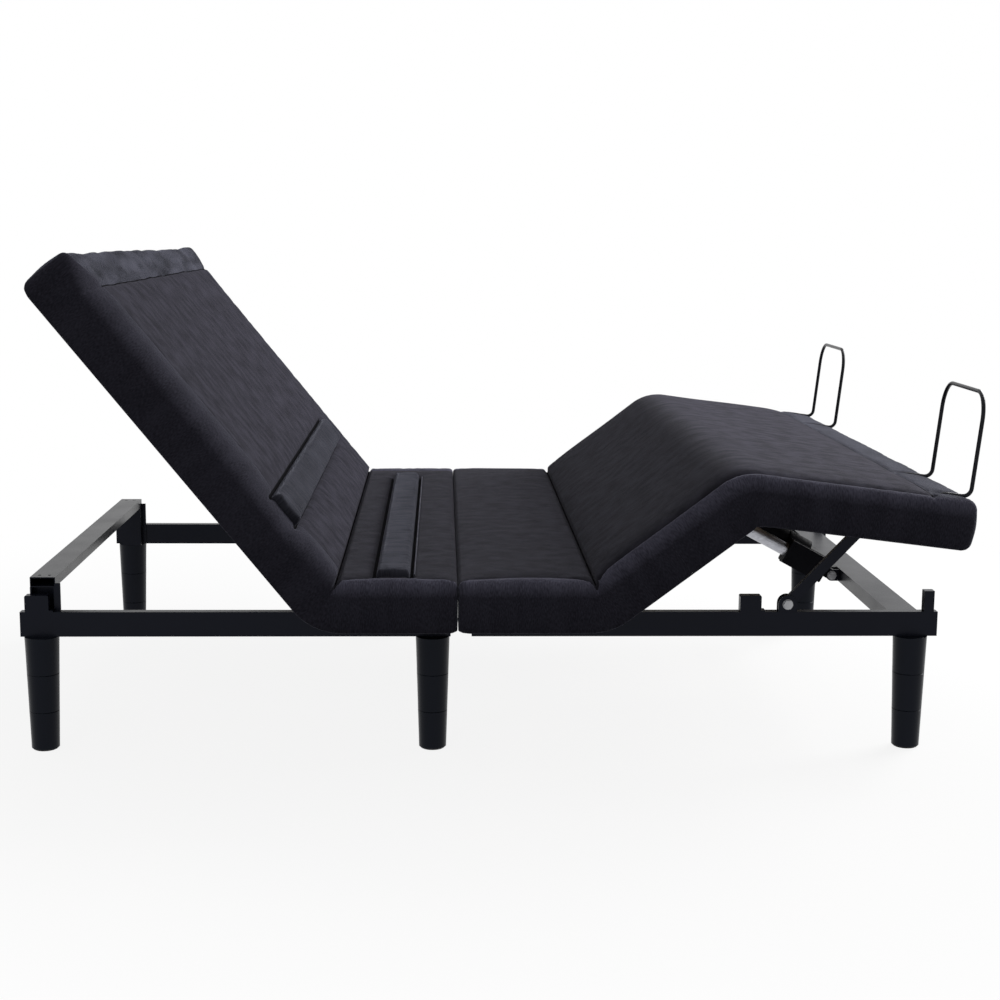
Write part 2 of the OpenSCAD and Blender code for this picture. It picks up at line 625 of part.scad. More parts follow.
// ---- Steel under the boards ----
module seat_cross_tubes() color(steel) on_seat()
  for (x = seat_tube_x) tube_y(x, x + sub_tube, -seat_tube_reach, seat_tube_reach, sub_low, -board_up);
module seat_posts() color(steel) on_base() both_sides() for (x = seat_tube_x) difference() {
  top = axis_z + sub_low;
  block(x, x + sub_tube, rail_in, rail_in + rail_w, rail_top, top);
  block(x + tube_wall, x + sub_tube - tube_wall, rail_in + tube_wall, rail_in + rail_w - tube_wall,
    rail_top - 1, top + 1);
}
module side_tubes(x0, x1) both_sides()
  tube_x(x0, x1, rail_y - side_w / 2, rail_y + side_w / 2, side_low, -board_up);
module back_frame() color(steel) on_back() {
  side_tubes(-back_len + side_tube_in, -end_gap - 15);
  for (x = back_tube_x) tube_y(x, x + sub_tube, -cross_reach, cross_reach, sub_low, -board_up);
}
module thigh_frame() color(steel) on_thigh() side_tubes(end_gap + 15, thigh_len - 16);
module calf_frame() color(steel) on_calf() {
  both_sides() tube_x(40, foot_tube_x - weld_gap, calf_side_y - sub_tube / 2, calf_side_y + sub_tube / 2,
    sub_low, -board_up);
  tube_y(foot_tube_x, foot_tube_x + sub_tube, -rail_y - 14, rail_y + 14, sub_low, -board_up);
}

// ---- Deck hinges ----
// Knuckles listed in which, on side s, with the web that joins them to their leaf
module knuckle_row(s, which) for (i = which) {
  y0 = i * step - hinge_len / 2 + side_fit / 2;
  across(y0, y0 + step - side_fit) mirror([s > 0 ? 0 : 1, 0]) {
    circle(d = barrel_d);
    polygon([[0, 0], [0, -board_up - leaf_t], [end_gap + 1, -board_up - leaf_t], [end_gap + 1, -board_up],
      [end_gap, -board_up], [end_gap / 2, -board_up / 2]]);
  }
}
// Leaf under a board; a dropped leaf is bent down against the cross tube instead
module leaf(s, which, dropped) for (y = hinge_y) translate([0, y, 0]) difference() {
  union() {
    far = end_gap + (dropped ? leaf_t : leaf_len);
    block(s > 0 ? end_gap : -far, s > 0 ? far : -end_gap, -hinge_len / 2, hinge_len / 2,
      dropped ? sub_low : -board_up - leaf_t, -board_up);
    knuckle_row(s, which);
  }
  bore_y(0, 0, 0, hinge_pin_d / 2 + run_fit, hinge_len + 20);
}
module pins() for (y = hinge_y) bore_y(0, y, 0, hinge_pin_d / 2, hinge_len + 4);
module seat_hinge_leaves() color("silver") on_seat() {
  translate([hip_x, 0, 0]) leaf(1, [0, 2, 4], true);
  translate([crease_x, 0, 0]) leaf(-1, [0, 2, 4], true);
}
module seat_hinge_pins() color("silver") on_seat() for (x = [hip_x, crease_x]) translate([x, 0, 0]) pins();
module back_hinge_leaves() color("silver") on_back() leaf(-1, [1, 3], false);
module thigh_hinge_leaves() color("silver") on_thigh() {
  leaf(1, [1, 3], false);
  translate([thigh_len, 0, 0]) leaf(-1, [0, 2, 4], false);
}
module knee_hinge_pins() color("silver") on_thigh() translate([thigh_len, 0, 0]) pins();
module calf_hinge_leaves() color("silver") on_calf() leaf(1, [1, 3], false);

// ---- Actuators ----
// Slot in a side view, given as [x, z, length, width]
module slot(p) translate([p[0], p[1]]) {
  square([p[2] - p[3], p[3]], center = true);
  for (s = [-1, 1]) translate([s * (p[2] - p[3]) / 2, 0]) circle(d = p[3]);
}
module plate_pair(y, t) for (s = [-1, 1]) {
  inner = ear_gap / 2;
  across(s > 0 ? y + inner : y - inner - t, s > 0 ? y + inner + t : y - inner) children();
}
module actuator_brackets() color(steel) on_base() difference() {
  union() {
    plate_pair(foot_act_y, plate_t) {
      translate([foot_tail_x, foot_tail_z]) circle(eye_r + 1);
      translate([foot_tail_x, foot_tail_z - eye_r - 1]) square([footbar_x - foot_tail_x, 2 * eye_r + 2]);
    }
    plate_pair(head_act_y, plate_t) translate([head_tail_x, head_tail_z]) ear(eye_r + 1, head_tail_rise);
  }
  bore_y(foot_tail_x, foot_act_y, foot_tail_z, act_pin_d / 2 + run_fit, 60);
  bore_y(head_tail_x, head_act_y, head_tail_z, act_pin_d / 2 + run_fit, 60);
}
// Side view of the gear housing, with its ends curved
module gear_outline(grow) intersection() {
  translate([-gear_start - gear_len, -gear_h / 2 - grow]) square([gear_len, gear_h + 2 * grow]);
  translate([-gear_start - gear_len / 2, 0]) circle(gear_len * 0.56 + grow);
}
// Gearbox with a tail eye; the motor side bulges out round the worm shaft
module gearbox(motor_z) difference() {
  union() {
    across(-eye_w / 2, eye_w / 2) {
      circle(eye_r);
      translate([-gear_start - 1, -eye_r]) square([gear_start + 1, 2 * eye_r]);
    }
    across(-gear_w / 2, gear_w / 2) gear_outline(0);
    across(-2, 2) gear_outline(1.5);
    for (t = [0.12, 0.88], s = [-1, 1])
      bore_y(-gear_start - t * gear_len, 0, s * gear_h * 0.32, 4, gear_w + 3, $fn = 24);
    translate([-gear_start - gear_len, motor_y, motor_z]) rotate([0, 90, 0])
      cylinder(d = motor_d + 6, h = gear_len * 0.55);
  }
  bore_y(0, 0, 0, act_pin_d / 2 + run_fit, 80);
}
// Motor can with a stepped end cap
module motor(motor_z) translate([-gear_start - gear_len, motor_y, motor_z]) rotate([0, -90, 0]) {
  cylinder(d = motor_d, h = motor_len);
  translate([0, 0, motor_len]) cylinder(d = motor_d - 8, h = 5);
  translate([0, 0, motor_len + 5]) cylinder(d = 16, h = 4);
}
// Tube that the rod runs in, up to its collar at the far end
module guide(far) translate([-far, 0, 0]) rotate([0, 90, 0]) difference() {
  union() {
    cylinder(d = guide_d, h = far - gear_start - gear_len);
    cylinder(d = guide_d + 2, h = 14);
  }
  translate([0, 0, -1]) cylinder(d = rod_d + 1, h = far);
}
// Rod with an eye, and the loose pin through it
module rod(l, pin_len) {
  difference() {
    union() {
      translate([-l, 0, 0]) rotate([0, 90, 0]) cylinder(d = rod_d, h = rod_len);
      bore_y(-l, 0, 0, eye_r, eye_w);
    }
    bore_y(-l, 0, 0, act_pin_d / 2 + run_fit, 60);
  }
  bore_y(-l, 0, 0, act_pin_d / 2, pin_len);
  for (s = [-1, 1]) bore_y(-l, s * (pin_len / 2 + 1.5), 0, act_pin_d / 2 + 4, 3);
}
module foot_gearbox() color([0.1, 0.1, 0.1]) on_foot_act() gearbox(foot_motor_z);
module foot_motor() color([0.12, 0.12, 0.12]) on_foot_act() motor(foot_motor_z);
module foot_tube() color("silver") on_foot_act() guide(foot_act_len - foot_rod_out);
module foot_rod() color("silver") on_foot_act() rod(foot_act_len, ear_gap + 2 * plate_t + 4);
module head_gearbox() color([0.1, 0.1, 0.1]) on_head_act() gearbox(head_motor_z);
module head_motor() color([0.12, 0.12, 0.12]) on_head_act() motor(head_motor_z);
module head_tube() color("silver") on_head_act() guide(head_act_len - head_rod_out);
module head_rod() color("silver") on_head_act() rod(head_act_len, ear_gap + 2 * arm_t + 4);
// Slotted bracket under the thigh board
module thigh_lift_bracket() color(steel) on_thigh() {
  z0 = -foot_rod_z + thigh_slot[1] - thigh_slot[3] / 2 - slot_rim;
  x0 = foot_rod_x + thigh_slot[0];
  half = thigh_slot[2] / 2 + slot_rim;
  plate_pair(foot_act_y, plate_t) difference() {
    translate([x0 - half, z0]) square([2 * half, -board_up - leaf_t - z0]);
    translate([foot_rod_x, -foot_rod_z]) slot(thigh_slot);
  }
  block(x0 - half, x0 + half, foot_act_y - ear_gap / 2 - 16, foot_act_y + ear_gap / 2 + 16,
    -board_up - leaf_t, -board_up);
}
// Arms under the back frame that the head actuator pushes
module lift_arms() color(steel) on_back() {
  r = arm_slot[2] / 2 + arm_rim;
  x = head_rod_x;
  z = -head_rod_z;
  plate_pair(head_act_y, arm_t) difference() {
    union() {
      translate([x + arm_slot[0], z + arm_slot[1]]) circle(r);
      polygon([[arm_tube_x, sub_low], [arm_tube_x + sub_tube, sub_low],
        [arm_tube_x + sub_tube + 14, z + 15],
        [x - 15, z + r - 4], [x, z - r + 1], [arm_tube_x + 20, z - 8], [arm_tube_x, z + 10]]);
    }
    translate([x, z]) slot(arm_slot);
  }
}

// ---- Electronics under the seat ----
// Box under the boards with its two long lower edges rounded, less what the children draw
module case_box(p) difference() {
  translate([p[0], 0, -board_up - p[4]]) rotate([90, 0, 90]) linear_extrude(p[1] - p[0])
    mirror([0, 1]) round_top(p[2], p[3], -p[4], 0, 6);
  children();
}
// Control box with a row of cable sockets on its foot side
module control_box() color([0.12, 0.12, 0.12]) on_seat() case_box(control_case)
  for (i = [0:3]) translate([control_case[1] - plug_d, control_case[2] + 20 + i * 32, -board_up - 26])
    cube([2 * plug_d, 16, 12]);
// Power supply with its mains inlet on the head side
module power_supply() color([0.12, 0.12, 0.12]) on_seat() case_box(supply_case)
  translate([supply_case[0] - plug_d, supply_case[2] + 22, -board_up - 25]) cube([25, 24, 16]);

// ---- Mattress retainers ----
// Centre line of half a loop: up through the deck, along it, up again and into the top bar
function leg_line() = concat(
  [[slit_x, loop_w / 2, -board_up - socket_h]],
  [for (i = [0:bend_steps]) let (t = 180 - 90 * i / bend_steps)
    [slit_x + bend_r * (1 + cos(t)), loop_w / 2, wire_rise - bend_r * (1 - sin(t))]],
  [for (i = [0:bend_steps]) let (t = (90 - loop_lean) * i / bend_steps - 90)
    [loop_foot_x - bend_r * (1 - cos(t)), loop_w / 2, wire_rise + bend_r * (1 + sin(t))]]
);
function shoulder_line(start) = [for (i = [0:2 * bend_steps]) let (t = 45 * i / bend_steps)
  start + loop_run * lean_dir + shoulder_w * (cos(t) - 1) * across_dir + shoulder_h * sin(t) * lean_dir];
function other_half(line) = [for (i = [len(line) - 1:-1:0]) [line[i][0], -line[i][1], line[i][2]]];
function unit(v) = v / norm(v);
// Direction of the line at point i, halfway between its two neighbouring pieces
function heading(line, i) =
  unit((i > 0 ? unit(line[i] - line[i - 1]) : [0, 0, 0])
    + (i < len(line) - 1 ? unit(line[i + 1] - line[i]) : [0, 0, 0]));
// Round wire swept along a loop's centre line; side_dir keeps its rings from twisting
module loop_wire() {
  half = concat(leg_line(), shoulder_line(leg_line()[2 * bend_steps + 2]));
  line = concat(half, other_half(half));
  last = len(line) - 1;
  legs = len(leg_line());
  function side_dir(i) = i < legs ? across_dir
    : i > last - legs ? -across_dir
    : unit(cross(cross(lean_dir, across_dir), heading(line, i)));
  function ring(i) = let (u = side_dir(i), v = cross(heading(line, i), u)) [
    for (k = [0:wire_sides - 1]) let (t = 360 * k / wire_sides)
      line[i] + wire_d / 2 * (cos(t) * u + sin(t) * v)
  ];
  function at(i, k) = i * wire_sides + k % wire_sides;
  polyhedron(
    points = [for (i = [0:last], q = ring(i)) q],
    faces = concat(
      [[for (k = [0:wire_sides - 1]) at(0, k)], [for (k = [wire_sides - 1:-1:0]) at(last, k)]],
      [for (i = [0:last - 1], k = [0:wire_sides - 1])
        [at(i, k + 1), at(i, k), at(i + 1, k), at(i + 1, k + 1)]]
    )
  );
}
module retainer_bars() color(steel) on_calf() for (s = [-1, 1]) translate([0, s * loop_y, 0]) loop_wire();
// Tubes under the board that hold the ends of the wires
module retainer_sockets() color(steel) on_calf() for (s = [-1, 1], d = [-1, 1])
  translate([slit_x, s * loop_y + d * loop_w / 2, -board_up - socket_h]) difference() {
    cylinder(d = wire_d + 3, h = socket_h);
    translate([0, 0, -1]) cylinder(d = wire_d + 2 * run_fit, h = socket_h + 2);
  }

// ---- Draw ----
head_rails();
foot_rails();
head_crossbar();
head_posts();
foot_crossbar();
low_crossbars();
frame_bolts();
leg_upper_sections();
leg_middle_sections();
leg_lower_sections();
leg_glides();
rest_brackets();
strut_brackets();
pivot_bolts();
seat_cross_tubes();
seat_posts();
seat_head_board();
seat_foot_board();
seat_head_pad();
seat_foot_pad();
seat_skirts();
seat_strip();
seat_hinge_leaves();
seat_hinge_pins();
actuator_brackets();
control_box();
power_supply();
back_board();
back_pad();
back_skirts();
back_frame();
back_hinge_leaves();
back_strip();
lift_arms();
thigh_board();
thigh_pad();
thigh_skirts();
thigh_frame();
thigh_hinge_leaves();
knee_hinge_pins();
thigh_lift_bracket();
calf_board();
calf_pad();
calf_skirts();
calf_frame();
calf_hinge_leaves();
strut_top_brackets();
retainer_bars();
retainer_sockets();
near_strut();
far_strut();
foot_gearbox();
foot_motor();
foot_tube();
foot_rod();
head_gearbox();
head_motor();
head_tube();
head_rod();
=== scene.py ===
"""Looks of an adjustable bed base, in the order in which it is put together."""

import json
import math

import bpy
import numpy as np
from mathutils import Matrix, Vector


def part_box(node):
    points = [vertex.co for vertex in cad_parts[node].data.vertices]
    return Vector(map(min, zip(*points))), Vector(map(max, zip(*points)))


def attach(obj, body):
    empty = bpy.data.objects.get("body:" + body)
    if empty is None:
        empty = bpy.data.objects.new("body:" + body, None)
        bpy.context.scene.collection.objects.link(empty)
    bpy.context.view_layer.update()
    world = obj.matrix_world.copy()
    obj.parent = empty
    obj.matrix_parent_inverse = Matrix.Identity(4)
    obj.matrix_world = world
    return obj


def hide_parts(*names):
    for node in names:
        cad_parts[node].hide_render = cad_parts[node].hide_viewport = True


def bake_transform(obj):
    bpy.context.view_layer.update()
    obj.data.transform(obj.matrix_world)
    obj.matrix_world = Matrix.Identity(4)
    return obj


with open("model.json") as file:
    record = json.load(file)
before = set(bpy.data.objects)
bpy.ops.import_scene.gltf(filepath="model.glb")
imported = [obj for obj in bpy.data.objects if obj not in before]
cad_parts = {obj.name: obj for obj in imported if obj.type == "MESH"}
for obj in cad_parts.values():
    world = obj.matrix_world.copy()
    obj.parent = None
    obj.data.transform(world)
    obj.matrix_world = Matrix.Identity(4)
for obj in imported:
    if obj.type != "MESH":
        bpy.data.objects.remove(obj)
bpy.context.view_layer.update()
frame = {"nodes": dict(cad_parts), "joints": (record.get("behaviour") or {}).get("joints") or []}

# ---- Studio ----
# A white floor and backdrop, a large soft window lamp behind the foot end, a weak lamp
# overhead, and little light from the camera's side, so that the near sides stay dark.


class Value:
    """A shader socket read as a number: + - and * on it add Math nodes."""

    def __init__(self, tree, socket):
        self.tree, self.socket = tree, socket

    def _math(self, operation, a, b):
        return Nodes(self.tree).add("Math", {"operation": operation}, [a, b])

    def __add__(self, b):
        return self._math("ADD", self, b)

    def __radd__(self, a):
        return self._math("ADD", a, self)

    def __sub__(self, b):
        return self._math("SUBTRACT", self, b)

    def __rsub__(self, a):
        return self._math("SUBTRACT", a, self)

    def __mul__(self, b):
        return self._math("MULTIPLY", self, b)

    def __rmul__(self, a):
        return self._math("MULTIPLY", a, self)


class Nodes:
    """A node tree; add() makes any node from its type, settings and sockets."""

    def __init__(self, tree):
        self.tree = tree

    def add(self, kind, settings=(), sockets=(), out=0):
        node = self.tree.nodes.new("ShaderNode" + kind)
        for name, value in dict(settings).items():
            setattr(node, name, value)
        pairs = sockets.items() if isinstance(sockets, dict) else enumerate(sockets)
        for key, value in pairs:
            if isinstance(value, Value):
                self.tree.links.new(value.socket, node.inputs[key])
            else:
                node.inputs[key].default_value = value
        return Value(self.tree, node.outputs[out])

    def white_rays(self):
        """1 for rays from the camera, mirrors and glass, which see the plain white set."""
        seen = [self.add("LightPath", out=f"Is {k} Ray") for k in ("Camera", "Glossy", "Transmission")]
        return self.add("Clamp", (), [seen[0] + seen[1] + seen[2]])


# The world is dim at the horizon and lighter overhead, but plain white behind the bed and
# in its mirrors.
studio = bpy.context.scene
studio.view_settings.view_transform = "Standard"
world = bpy.data.worlds.new("studio")
world.use_nodes = True
studio.world = world
air = Nodes(world.node_tree)
up = air.add("SeparateXYZ", (), [air.add("TexCoord", out="Generated")], out="Z")
horizon, zenith = 0.04, 0.46
sky = horizon + (zenith - horizon) * air.add("Clamp", (), [up])
plain = air.white_rays()
backdrop = world.node_tree.nodes["Background"]
backdrop.inputs["Color"].default_value = (1, 1, 1, 1)
world.node_tree.links.new((sky + plain * (1 - sky)).socket, backdrop.inputs["Strength"])

# The floor is matt grey to the lamps' light and takes the bed's shadow. It shows paler, and
# mixed with an even glow, which covers the last of the grey further off.
matt_grey, pale_grey = 0.22, 0.95
near_glow, glow_from, glow_full = 0.88, 0.9, 2.4
floor_paint = bpy.data.materials.new("pale_floor")
floor_paint.use_nodes = True
paint = Nodes(floor_paint.node_tree)
plain = paint.white_rays()
spot = paint.add("VectorMath", {"operation": "LENGTH"}, [paint.add("TexCoord", out="Object")], out="Value")
far_off = paint.add("MapRange", {"interpolation_type": "SMOOTHSTEP"}, [spot, glow_from, glow_full])
grey = paint.add("CombineColor", (), [matt_grey + (pale_grey - matt_grey) * plain] * 3)
matt = paint.add("BsdfDiffuse", (), {"Color": grey})
glow = paint.add("Emission", (), {"Strength": 1.0})
share = plain * (near_glow + (1 - near_glow) * far_off)
mixed = paint.add("MixShader", (), [share, matt, glow])
floor_paint.node_tree.links.new(
    mixed.socket, floor_paint.node_tree.nodes["Material Output"].inputs["Surface"]
)
floor_mesh = bpy.data.meshes.new("floor")
reach = 30.0
corners = [(-reach, -reach, 0), (reach, -reach, 0), (reach, reach, 0), (-reach, reach, 0)]
floor_mesh.from_pydata(corners, [], [(0, 1, 2, 3)])
floor = bpy.data.objects.new("floor", floor_mesh)
floor_mesh.materials.append(floor_paint)
studio.collection.objects.link(floor)


def lamp(name, place, aim, width, depth, power):
    """A soft rectangular lamp at place, facing aim."""
    light = bpy.data.lights.new(name, "AREA")
    light.shape, light.size, light.size_y, light.energy = "RECTANGLE", width, depth, power
    body = bpy.data.objects.new(name, light)
    body.location = place
    body.rotation_euler = (Vector(aim) - Vector(place)).to_track_quat("-Z", "Y").to_euler()
    studio.collection.objects.link(body)


lamp("window", (3.4, 2.0, 2.3), (0, 0, 0.5), 2.6, 2.0, 198)
lamp("overhead_lamp", (0.3, 0.8, 3.4), (0, 0, 0.3), 3.6, 2.4, 14)
lamp("front_fill", (-2.0, -4.0, 1.6), (0, 0, 0.4), 2.0, 2.0, 12)

# Camera: a 61 mm lens a metre above the floor, tilted down nine degrees, turned two degrees
# towards the foot end and rolled by half a degree.
tilt, turn, roll = 0.1597, 0.03516, 0.00738
eye, lens, sensor = (-0.09460, -3.80656, 1.03958), 60.80, 36
forward = Vector((math.sin(turn) * math.cos(tilt), math.cos(turn) * math.cos(tilt), -math.sin(tilt)))
level = Vector((math.cos(turn), -math.sin(turn), 0))
above = level.cross(forward)
right = level * math.cos(roll) + above * math.sin(roll)
above = above * math.cos(roll) - level * math.sin(roll)
camera = bpy.data.objects.new("camera", bpy.data.cameras.new("camera"))
camera.data.lens, camera.data.sensor_width = lens, sensor
turned = Matrix((right, above, -forward)).transposed().to_4x4()
camera.matrix_world = Matrix.Translation(eye) @ turned
studio.collection.objects.link(camera)
studio.camera = camera

# ---- Base frame, struts and brackets ----
# Welded rectangular tube and folded sheet, powder-coated black: an even satin coat with
# a faint orange-peel surface and duller patches where hands and the tubes have rubbed.


class Finish(Nodes):
    """A material on the Principled shader; uniform values go straight to its sockets."""

    def __init__(self, name, **uniform):
        self.material = bpy.data.materials.new(name)
        self.material.use_nodes = True
        super().__init__(self.material.node_tree)
        self.shader = self.tree.nodes["Principled BSDF"]
        for key, value in uniform.items():
            self.shader.inputs[key.replace("_", " ")].default_value = value

    def place(self):
        return self.add("TexCoord", out="Object")

    def vary(self, **values):
        for key, value in values.items():
            self.tree.links.new(value.socket, self.shader.inputs[key.replace("_", " ")])

    def noise(self, place, stretch, detail=2.0, turn=0.0):
        """Noise between 0 and 1 with stretch cells per metre along each axis."""
        spread = self.add("Mapping", (), {"Vector": place, "Scale": stretch, "Rotation": (0, 0, turn)})
        return self.add("TexNoise", (), {"Vector": spread, "Scale": 1.0, "Detail": detail})

    def mix(self, amount, a, b):
        """Colour a where amount is 0 and b where it is 1."""
        return self.add("Mix", {"data_type": "RGBA"}, {0: amount, 6: a, 7: b}, out=2)

    def bump(self, height, depth):
        self.vary(Normal=self.add("Bump", (), {"Height": height, "Distance": depth}))


def dress(finish, *names):
    """Puts a finish on CAD nodes."""
    for name in names:
        slots = frame["nodes"][name].data.materials
        slots.clear()
        slots.append(finish.material)


def powder_coat(name, dark, light, rough):
    """Black powder coat: fine peel bump, slow change of tone and gloss."""
    coat = Finish(name, Specular_IOR_Level=0.13, Specular_Tint=(0.85, 0.88, 1, 1))
    here = coat.place()
    patches = coat.noise(here, (9, 9, 9), 3.0)
    coat.vary(Base_Color=coat.mix(patches, dark, light), Roughness=rough + 0.14 * patches)
    coat.bump(coat.noise(here, (900, 900, 900)), 0.00004)
    return coat


steel_coat = powder_coat(
    "powder_coat", (0.0040, 0.0052, 0.0105, 1), (0.0070, 0.0082, 0.0155, 1), rough=0.24
)  # fmt: skip
dress(
    steel_coat, "head_rails", "foot_rails", "head_crossbar", "head_posts", "foot_crossbar",
    "low_crossbars", "rest_brackets", "strut_brackets", "seat_cross_tubes", "seat_posts",
    "actuator_brackets", "back_frame", "lift_arms", "thigh_frame", "thigh_lift_bracket",
    "calf_frame", "strut_top_brackets", "retainer_sockets", "near_strut", "far_strut",
)  # fmt: skip

# ---- Legs ----
# Three screw-together sections a leg, moulded in black plastic over a steel stud, with
# a satin skin that is a little glossier than the frame; each stands on a felt glide.
leg_skin = powder_coat("leg_skin", (0.0022, 0.0040, 0.0085, 1), (0.0050, 0.0068, 0.0125, 1), rough=0.22)
dress(leg_skin, "leg_upper_sections", "leg_middle_sections", "leg_lower_sections")
felt = Finish("felt_glide", Roughness=0.95)
felt_spread = felt.noise(felt.place(), (700, 700, 700), 4.0)
felt.vary(Base_Color=felt.mix(felt_spread, (0.016, 0.016, 0.017, 1), (0.05, 0.05, 0.05, 1)))
felt.bump(felt_spread, 0.0005)
dress(felt, "leg_glides")

# ---- Bolts, hinges and pins ----
# Zinc-plated steel that has dulled: grey, slightly blue, with cloudy patches and a fine
# etched grain; the hinge leaves are the same metal.
zinc = Finish("zinc_plate", Metallic=1.0)
here = zinc.place()
cloud = zinc.noise(here, (60, 60, 60), 4.0)
zinc.vary(
    Base_Color=zinc.mix(cloud, (0.17, 0.175, 0.19, 1), (0.36, 0.36, 0.37, 1)),
    Roughness=0.24 + 0.24 * cloud,
)
zinc.bump(zinc.noise(here, (500, 500, 500)), 0.00012)
dress(
    zinc, "frame_bolts", "pivot_bolts", "seat_hinge_leaves", "seat_hinge_pins",
    "back_hinge_leaves", "thigh_hinge_leaves", "knee_hinge_pins", "calf_hinge_leaves",
)  # fmt: skip

# ---- Actuators and electronics ----
# Black moulded gearboxes and motor covers with a fine spark grain, a drawn aluminium
# guide tube with lines along it, and a ground steel rod; the control box and the power
# supply are moulded in the same black plastic.
moulding = Finish("black_moulding", Specular_IOR_Level=0.06)
here = moulding.place()
grain = moulding.noise(here, (1400, 1400, 1400), 3.0)
clouds = moulding.noise(here, (25, 25, 25))
moulding.vary(
    Base_Color=moulding.mix(clouds, (0.003, 0.003, 0.0048, 1), (0.006, 0.006, 0.0090, 1)),
    Roughness=0.4 + 0.2 * grain,
)
moulding.bump(grain, 0.00015)
dress(moulding, "foot_gearbox", "foot_motor", "head_gearbox", "head_motor", "control_box", "power_supply")


def drawn_metal(name, dark, light, rough, slope):
    """Metal drawn along the actuator: lines that run with it, slope being its tilt."""
    metal = Finish(name, Metallic=1.0)
    straight = metal.add("Mapping", (), {"Vector": metal.place(), "Rotation": (0, slope, 0)})
    lines = metal.noise(straight, (3, 260, 260), 3.0)
    metal.vary(Base_Color=metal.mix(lines, dark, light), Roughness=rough + 0.16 * lines)
    metal.bump(lines, 0.00006)
    return metal


tube_tones = (0.26, 0.26, 0.29, 1), (0.52, 0.53, 0.57, 1)
rod_tones = (0.62, 0.62, 0.64, 1), (0.86, 0.86, 0.88, 1)
for end, degrees in (("foot", 28.4), ("head", 5.2)):
    slope = math.radians(degrees)
    dress(drawn_metal(f"{end}_tube_metal", *tube_tones, 0.26, slope), f"{end}_tube")
    dress(drawn_metal(f"{end}_rod_metal", *rod_tones, 0.1, slope), f"{end}_rod")

# ---- Deck boards ----
# Sixteen millimetre plywood, sanded and left raw; only its underside shows, between the
# padded side rails. Grain runs across the bed, with darker late-wood streaks.
ply = Finish("plywood", Roughness=0.7)
here = ply.place()
rings = ply.noise(here, (38, 3.2, 38), 5.0)
fibres = ply.noise(here, (420, 16, 420), 3.0)
grain = rings * 0.75 + fibres * 0.25
ply.vary(Base_Color=ply.mix(grain, (0.30, 0.19, 0.105, 1), (0.62, 0.46, 0.29, 1)))
ply.bump(fibres, 0.0002)
dress(ply, "back_board", "seat_head_board", "seat_foot_board", "thigh_board", "calf_board")

# ---- Head half of the cover ----
# One sewn cover runs over the back section and the seat's head part: a woven panel, with
# velour on the sides and the border and a lined hem, pulled over foam and turned in under
# the padded rails. It creases at the hip and rounds off smoothly underneath.


def joint_place(name):
    """Where a joint's axis lies at rest."""
    return np.array(next(j["pos_m"] for j in frame["joints"] if j["name"] == name))


hip, crease, knee = (joint_place(n) for n in ("head_tilt", "thigh_tilt", "calf_fold"))
# Half the width; then heights over the hinges' line: the pad's top, the rails' foot and the
# hem's inner end, just off the board; then where the two covers meet, half the gap that they
# leave there, and the padded rails' thickness.
half_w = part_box("seat_head_pad")[1].y
top_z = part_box("seat_head_pad")[1].z - hip[2]
low_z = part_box("seat_skirts")[0].z - hip[2]
ceiling_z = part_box("seat_head_board")[1].z - hip[2] + 0.00005
joint_x = (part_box("seat_head_pad")[1].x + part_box("seat_foot_pad")[0].x) / 2
half_gap = 0.00025
rail_t = 0.030


def smooth(t):
    """0 below t=0, 1 above t=1, and an even S between them."""
    t = np.clip(t, 0, 1)
    return t * t * (3 - 2 * t)


def dip(t):
    """Bell of height 1 at t=0, as wide as 1."""
    return np.exp(-(t**2))


def soft_noise(a, b, seed):
    """Random heights of a lattice with one cell per unit of a and b, joined by S curves."""
    cells = 64
    table = np.random.default_rng(seed).uniform(-1, 1, (cells, cells))
    i, j = np.floor(a).astype(int), np.floor(b).astype(int)
    p, q = smooth(a - i), smooth(b - j)
    i0, i1, j0, j1 = i % cells, (i + 1) % cells, j % cells, (j + 1) % cells
    near = table[i0, j0] * (1 - p) + table[i1, j0] * p
    far = table[i0, j1] * (1 - p) + table[i1, j1] * p
    return near * (1 - q) + far * q


def steps(*stops):
    """Grid lines from stops of (place, spacing up to the next place)."""
    parts = [
        np.linspace(a, b, max(2, round((b - a) / gap) + 1))[:-1]
        for (a, gap), (b, _) in zip(stops, stops[1:])
    ]
    return np.concatenate([*parts, [stops[-1][0]]])


def edge_steps(r):
    """Places from 0 to r that round an edge of radius r: even steps of angle from the rim."""
    return r * (1 - np.cos(np.radians(np.arange(0, 91, 15)))) if r else np.zeros(1)


def grid_lines(start, r0, gap, *stops, end, r1):
    """Grid lines from start to end: over a rounded edge of radius r0, on in steps of gap,
    which the stops change, and over an edge of radius r1."""
    middle = steps((start + r0, gap), *stops, (end - r1, 1))
    return np.concatenate([start + edge_steps(r0)[:-1], middle, end - edge_steps(r1)[::-1][1:]])


def quads(grid):
    """Faces of a grid of vertex numbers."""
    return np.stack([grid[:-1, :-1], grid[1:, :-1], grid[1:, 1:], grid[:-1, 1:]], -1).reshape(-1, 4)


def centres(uu, yy):
    """Middle of each cell of a grid."""
    return [(g[:-1, :-1] + g[1:, :-1] + g[1:, 1:] + g[:-1, 1:]) / 4 for g in (uu, yy)]


def rim(grid):
    """A grid's outer loop, anticlockwise from its first corner."""
    return np.concatenate([grid[:-1, 0], grid[-1, :-1], grid[:0:-1, -1], grid[0, :0:-1]])


